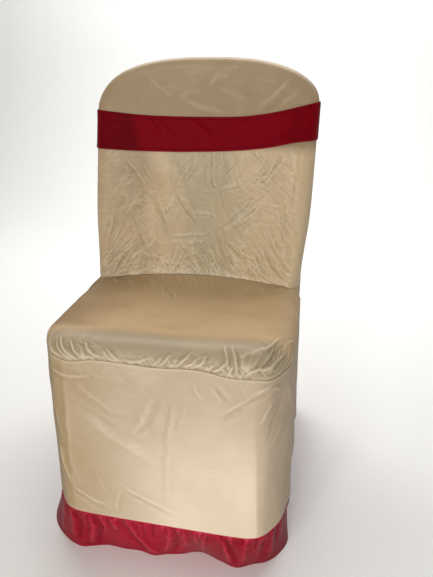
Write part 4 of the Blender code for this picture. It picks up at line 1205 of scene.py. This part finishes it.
def satin(name, weave, crush, stitches=None):
    """Satin after its row: three close tones of painted shade and light, slubs, painted highlights
    on crests and glint lines, painted shade in creases and stitch grooves, woven floats, handling
    creases and hem stitches in the bump, and glossier where it is crushed."""
    row = dict(zip(SATIN_COLUMNS, SATINS[name]))
    material, graph, shader = new_material(name + "_satin")
    inputs = {"Threads per metre": THREADS_PER_METRE}
    threads = graph.add("ShaderNodeGroup", inputs, node_tree=weave).outputs
    creases = graph.add("ShaderNodeGroup", {"Scale": row["crush_scale"]}, node_tree=crush).outputs
    tone, crush_and_glints, bend = [graph.attribute(label) for label in ("tone", "crush", "crest")]
    drift = graph.times(graph.math("SUBTRACT", threads["Cloudiness"], 0.5), CLOUD_DRIFT)
    slubs = graph.times(graph.math("SUBTRACT", threads["Slubs"], 0.5), SLUB_DRIFT)
    # The ramp runs through the row's tones of painted shade, light and sheen; cloudiness and slubs
    # move it at random.
    ramp = graph.add("ShaderNodeValToRGB", {"Fac": graph.plus(tone, graph.plus(drift, slubs))})
    ramp.color_ramp.elements.new(0.5)
    for stop, colour in zip(ramp.color_ramp.elements, row["tones"]):
        stop.color = (*colour, 1.0)
    # Painted highlights: thin glint lines on crushed cloth, and the crests.
    lines = graph.times(graph.times(creases["Glints"], crush_and_glints), row["glint_share"])
    crest = graph.math("MAXIMUM", graph.times(bend, CREST_HIGHLIGHT_SHARE), lines)
    colour = graph.mix(ramp.outputs["Color"], row["crest_highlight"], crest)
    # Painted shade in the creases.
    colour = graph.mix(colour, row["crease_shade"], graph.times(bend, -CREASE_SHADE_SHARE))
    normal = graph.bump(threads["Height"], WEAVE_RELIEF, WEAVE_STRENGTH)
    crush_height = graph.times(creases["Height"], crush_and_glints)
    normal = graph.bump(crush_height, row["crush_depth"], 1.0, {"Normal": normal})
    if stitches is not None:
        sewn = graph.add("ShaderNodeGroup", node_tree=stitches).outputs
        normal = graph.bump(sewn["Height"], STITCH_RELIEF, 1.0, {"Normal": normal})
        # Painted shade in the groove beside the stitches.
        groove = graph.times(sewn["Groove"], GROOVE_SHADE)
        colour = graph.mix(colour, row["crease_shade"], groove)
    polish = graph.times(crush_and_glints, row["crushed_roughness"] - row["roughness"])
    graph.feed(shader, {
        "Base Color": colour,
        "Normal": normal,
        "Roughness": graph.plus(polish, row["roughness"]),
        "Specular IOR Level": row["gloss"],
        "Specular Tint": (*row["gloss_tint"], 1.0),
    })
    return material


# ---- Painted light and shade in the cloth's tone, and how crushed it is, 0 to 1 each ------------
def slanted(first, second, turn, squeeze=0.35):
    """Coordinates across and along a direction at the given angle, squeezed along it."""
    turn = math.radians(turn)
    across = second * math.cos(turn) - first * math.sin(turn)
    along = first * math.cos(turn) + second * math.sin(turn)
    return across, squeeze * along


def face_looks(x, y, height):
    """Painted shade on the left and above the sash, a painted grey sheen in the middle under the
    sash with a ragged edge, and a painted highlight brighter on its right; crushed below the sash,
    most of all low down and on the right. Pulled out of both foot corners."""
    below = smooth((0.70 - height) / 0.03)
    place = x + 0.035 * gradient_noise(x / 0.07, height / 0.09, TONE_SEED)
    tone = 0.20 + 0.80 * smooth((place + 0.125) / 0.10) - 0.42 * smooth((place - 0.035) / 0.09)
    crush_and_glints = 0.45 + 0.30 * smooth((0.53 - height) / 0.06) + 0.25 * smooth((x - 0.02) / 0.10)
    crush_and_glints *= 0.25 + 0.75 * smooth((0.222 - np.abs(x)) / 0.02)
    corner_x, corner_height = PULL_CORNER
    angle = np.arctan2(height - corner_height, corner_x - np.abs(x))
    radius = np.hypot(height - corner_height, corner_x - np.abs(x))
    aside = 0.15 * smooth((x + 0.10) / 0.20)
    return tone * below, 0.03 + crush_and_glints * below, (0.22 * angle + aside, 0.30 * radius + aside)


def seat_looks(x, y, height):
    """Painted shade on both sides of the top; a painted grey sheen over the front roll, crushed low
    down.
    """
    roll = smooth((-0.150 - y) / 0.055)
    top = 0.5 * smooth((x + 0.20) / 0.14) - 0.14 * smooth((x - 0.06) / 0.12)
    low = smooth((0.414 - height) / 0.016)
    crush_and_glints = 0.04 + roll * low * (0.55 - 0.15 * smooth((x - 0.14) / 0.03))
    return top + (1.0 - top) * roll, crush_and_glints, slanted(x, height, 125.0, 0.25)


def skirt_looks(x, y, height):
    """Painted shade beyond both front corners and on the left, and a painted pool of light palest
    low on the right of the front.
    """
    right_corner = 0.163 + 0.050 * (0.352 - height)
    front = smooth((-0.15 - y) / 0.05) * smooth((right_corner - x) / 0.005)
    front *= smooth((x + 0.166) / 0.008)
    pale = smooth((x + 0.12) / 0.20) * smooth((0.40 - height) / 0.30)
    sides = 0.50 * smooth((x + 0.10) / 0.05)
    tone = sides + front * (0.28 - sides + 0.22 * smooth((x + 0.16) / 0.14) + 0.45 * pale)
    return tone, 0.12 + 0.35 * smooth((height - 0.30) / 0.06), slanted(x + y, height, -35.0)


def rear_looks(x, y, height):
    """Even, pulled upright."""
    return 0.36 + 0.0 * x, 0.15 + 0.0 * x, slanted(x, height, 90.0)


def border_looks(x, y, height):
    """Painted light brightest in the middle of the front; crushed under the seam, upright."""
    tone = np.exp(-((x + 0.02) / 0.14)**2) * smooth((-0.1 - y) / 0.05)
    return tone, smooth((height - 0.01) / 0.06), slanted(x + 0.8 * y, height, 90.0, 0.5)


def sash_looks(x, y, height):
    """Painted shade at both ends of the face, on the left from a slanted fold outwards, and a
    painted sheen brightest right of the middle.
    """
    place = x + 0.20 * (height - 0.715)
    tone = 0.08 + 0.67 * smooth((place + 0.160) / 0.030) + 0.25 * smooth((x - 0.06) / 0.04)
    facing = smooth((0.235 - y) / 0.02)
    tone = 0.35 + facing * (tone - 0.55 * smooth((x - 0.165) / 0.03) - 0.35)
    return tone, 0.25 + 0.0 * x, slanted(x, height, 0.0)


# ---- Pieces -------------------------------------------------------------------------------------
def ring(values, closed):
    """Grid whose first column is repeated at the end if it closes on itself."""
    return np.concatenate((values, values[:1])) if closed else values


def squares(grid):
    """Values at the four corners of each square of a grid."""
    return np.stack((grid[:-1, :-1], grid[1:, :-1], grid[1:, 1:], grid[:-1, 1:]), axis=2)


def grid_mesh(name, points, closed=False):
    """Smooth mesh of a grid of points, a face to each square."""
    index = np.arange(points[..., 0].size).reshape(points.shape[:2])
    quads = squares(ring(index, closed)).reshape(-1, 4)
    mesh = bpy.data.meshes.new(name)
    mesh.from_pydata(points.reshape(-1, 3), (), quads.tolist())
    mesh.shade_smooth()
    return mesh


def new_object(name, data):
    """Object in the scene, at the origin."""
    thing = bpy.data.objects.new(name, data)
    bpy.context.scene.collection.objects.link(thing)
    return thing


def cloth_piece(name, points, material, looks, closed=False, stitch=None):
    """Piece of cloth from a grid of points, thickened inwards, its edges kept sharp.

    Its maps are lengths along and up the grid in metres, and the drag; its masks are the tone,
    which holds painted light and shade, how crushed it is, which also places painted glint lines,
    its crests and creases, where highlights and shade are painted, and the distance from a row of
    stitches."""
    tone, crush_and_glints, drag = looks(*np.moveaxis(points, -1, 0))
    if stitch is None:
        stitch = np.full(points.shape[:2], NO_STITCH)
    masks = {"tone": tone, "crush": crush_and_glints, "crest": fold_crest(points, closed), "stitch": stitch}
    points = points - ORIGIN
    looped = ring(points, closed)
    along = length_along(looped[:, looped.shape[1] // 2])[:, None]
    metres = np.stack(np.broadcast_arrays(along, row_lengths(looped)), axis=-1)
    maps = {"cloth_metres": metres, "drag": ring(np.stack(drag, axis=-1), closed)}
    mesh = grid_mesh(name, points, closed)
    for label, places in maps.items():
        layer = mesh.uv_layers.new(name=label)
        layer.data.foreach_set("uv", squares(places).reshape(-1).astype(np.float32))
    for label, mask in masks.items():
        attribute = mesh.attributes.new(label, "FLOAT", "POINT")
        attribute.data.foreach_set("value", mask.reshape(-1).astype(np.float32))
    piece = new_object(name, mesh)
    thicken = piece.modifiers.new("thicken", "SOLIDIFY")
    thicken.thickness = CLOTH
    thicken.offset = -1.0
    bpy.context.view_layer.update()
    thickened = piece.evaluated_get(bpy.context.evaluated_depsgraph_get())
    finished = bpy.data.meshes.new_from_object(thickened)
    piece.modifiers.clear()
    piece.data = finished
    finished.set_sharp_from_angle(angle=math.radians(SHARP_ANGLE))
    finished.materials.clear()
    finished.materials.append(material)
    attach(piece, "root")
    return piece


def build_cover():
    """The six pieces; the solid each stands for is hidden."""
    groups = [satin_weave_group(), crush_group()]
    face_satin, seat_satin, skirt_satin = [satin(name, *groups) for name in LIGHT_SATINS]
    groups.append(hem_stitch_group())
    sash_satin, border_satin = [satin(name, *groups) for name in DARK_SATINS]
    skirt_points = skirt_piece()
    rear_points = rear_piece()
    face = cloth_piece("face_cloth", face_piece(), face_satin, face_looks)
    rear = cloth_piece("rear_cloth", rear_points[::-1], skirt_satin, rear_looks)
    seat = cloth_piece("seat_cloth", seat_piece(), seat_satin, seat_looks)
    skirt = cloth_piece("skirt_cloth", skirt_points[:, ::-1], skirt_satin, skirt_looks)
    border_points = border_piece(skirt_points, rear_points)[:, ::-1]
    row = np.abs(row_lengths(border_points) - BORDER_HEM)
    border = cloth_piece("border_cloth", border_points, border_satin, border_looks, True, row)
    sash_points = sash_piece()
    up = row_lengths(sash_points)
    row = np.abs(np.minimum(up, up[:, -1:] - up) - SASH_HEM)
    sash = cloth_piece("sash_cloth", sash_points, sash_satin, sash_looks, True, row)
    light, dark = "champagne_satin", "maroon_satin"
    # Columns: piece, solid, slot, flat size, how held, what carries it, area if not a rectangle.
    rows = (
        (face, "back_front_panel", light, (0.74, 0.49), "stretched", (), 0.285),
        (rear, "rear_panel", light, (0.58, 0.80), "hung", ("face_cloth",), 0.42),
        (seat, "seat_panel", light, (0.50, 0.42), "stretched", (), 0.185),
        (skirt, "skirt_panel", light, (1.36, 0.32), "hung", ("seat_cloth",), 0.415),
        (border, "hem_border", dark, (2.02, 0.090), "hung", ("skirt_cloth", "rear_cloth"), None),
        (sash, "sash_band", dark, (1.12, 0.080), "stretched", ("face_cloth", "rear_cloth"), None),
    )
    for piece, node, slot, flat, held, carriers, area in rows:
        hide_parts(node)


# ---- Stage, lights and camera -------------------------------------------------------------------
FLOOR_REACH = 4.0         # to each side and forward, and the height of the backdrop
BACKDROP_START = 1.6      # y where the floor begins to curve up
BACKDROP_ROUND = 1.0
FLOOR_COLOUR = (0.93, 0.93, 0.92, 1.0)
FLOOR_ROUGHNESS = 0.7


def add_floor(height):
    """Pale floor that curves up into a backdrop: a profile along y carried across x."""
    across = np.linspace(-FLOOR_REACH, FLOOR_REACH, 9)
    turn = np.linspace(0.0, math.pi / 2.0, 13)
    run = BACKDROP_START + BACKDROP_ROUND * np.sin(turn)
    rise = BACKDROP_ROUND * (1.0 - np.cos(turn))
    profile_y = np.concatenate(((-FLOOR_REACH, 0.0), run, (BACKDROP_START + BACKDROP_ROUND,)))
    profile_z = np.concatenate(((0.0, 0.0), rise, (FLOOR_REACH,)))
    points = np.stack(np.broadcast_arrays(across[:, None], profile_y, height + profile_z), axis=-1)
    floor = new_object("studio_floor", grid_mesh("studio_floor", points))
    material, graph, shader = new_material("pale_floor")
    graph.feed(shader, {"Base Color": FLOOR_COLOUR, "Roughness": FLOOR_ROUGHNESS})
    floor.data.materials.append(material)
    floor.visible_glossy = False


WARM = (1.0, 0.98, 0.94)
# Columns: name, place, target, width, height, power, colour.
LIGHTS = (
    ("low_front_softbox", (0.10, -0.98, -0.80), (0.06, -0.50, -0.80), 0.45, 0.08, 0.8, WARM),
    ("front_softbox", (-0.12, -2.0, -0.30), (0.0, -0.2, -0.35), 0.25, 0.25, 7.5, WARM),
    ("high_front_softbox", (-0.60, -1.9, 1.0), (0.0, -0.1, -0.35), 0.35, 0.35, 7.0, WARM),
    ("overhead_softbox", (0.2, 0.3, 2.0), (0.0, 0.0, -0.4), 1.5, 1.5, 5.5, (1.0, 0.97, 0.92)),
    ("backdrop_softbox", (0.0, 1.1, 1.6), (0.0, 1.7, -0.8), 3.0, 1.0, 60.0, (1.0, 1.0, 1.0)),
)
WORLD_COLOUR = (1.0, 0.98, 0.95, 1.0)
WORLD_STRENGTH = 0.25


def add_lights():
    """Soft boxes after the table, each turned to its target, and an even dim surround."""
    for name, place, target, width, height, power, colour in LIGHTS:
        light = bpy.data.lights.new(name, "AREA")
        light.shape = "RECTANGLE"
        light.size = width
        light.size_y = height
        light.energy = power
        light.color = colour
        lamp = new_object(name, light)
        lamp.location = place
        lamp.rotation_euler = (Vector(target) - Vector(place)).to_track_quat("-Z", "Y").to_euler()
        lamp.visible_camera = False
    world = bpy.data.worlds.new("studio")
    world.use_nodes = True
    surround = world.node_tree.nodes["Background"]
    Graph(world.node_tree).feed(surround, {"Color": WORLD_COLOUR, "Strength": WORLD_STRENGTH})
    bpy.context.scene.world = world
    bpy.context.scene.view_settings.view_transform = "Standard"


CAMERA_PLACE = np.array((0.2017, -0.9091, 0.8086))   # above the hem's floor line
CAMERA_TURN = -0.1517     # radians to the left of straight ahead
CAMERA_DIP = 0.3802       # radians down
CAMERA_ROLL = -0.0017
CAMERA_LENS = 31.5        # mm
CAMERA_SENSOR = 36.0      # mm on the long side
CAMERA_NEAR = 0.01


def add_camera():
    """Camera at its place: turned about the upright, then dipped, then rolled about its view."""
    camera = bpy.data.cameras.new("camera")
    camera.lens = CAMERA_LENS
    camera.sensor_width = CAMERA_SENSOR
    camera.clip_start = CAMERA_NEAR
    eye = new_object("camera", camera)
    turn = Matrix.Rotation(-CAMERA_TURN, 4, "Z")
    dip = Matrix.Rotation(math.pi / 2.0 - CAMERA_DIP, 4, "X")
    roll = Matrix.Rotation(-CAMERA_ROLL, 4, "Z")
    eye.matrix_world = Matrix.Translation(Vector(CAMERA_PLACE - ORIGIN)) @ turn @ dip @ roll
    bpy.context.scene.camera = eye


add_camera()
add_lights()
add_floor(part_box("hem_border")[0][2])
build_cover()
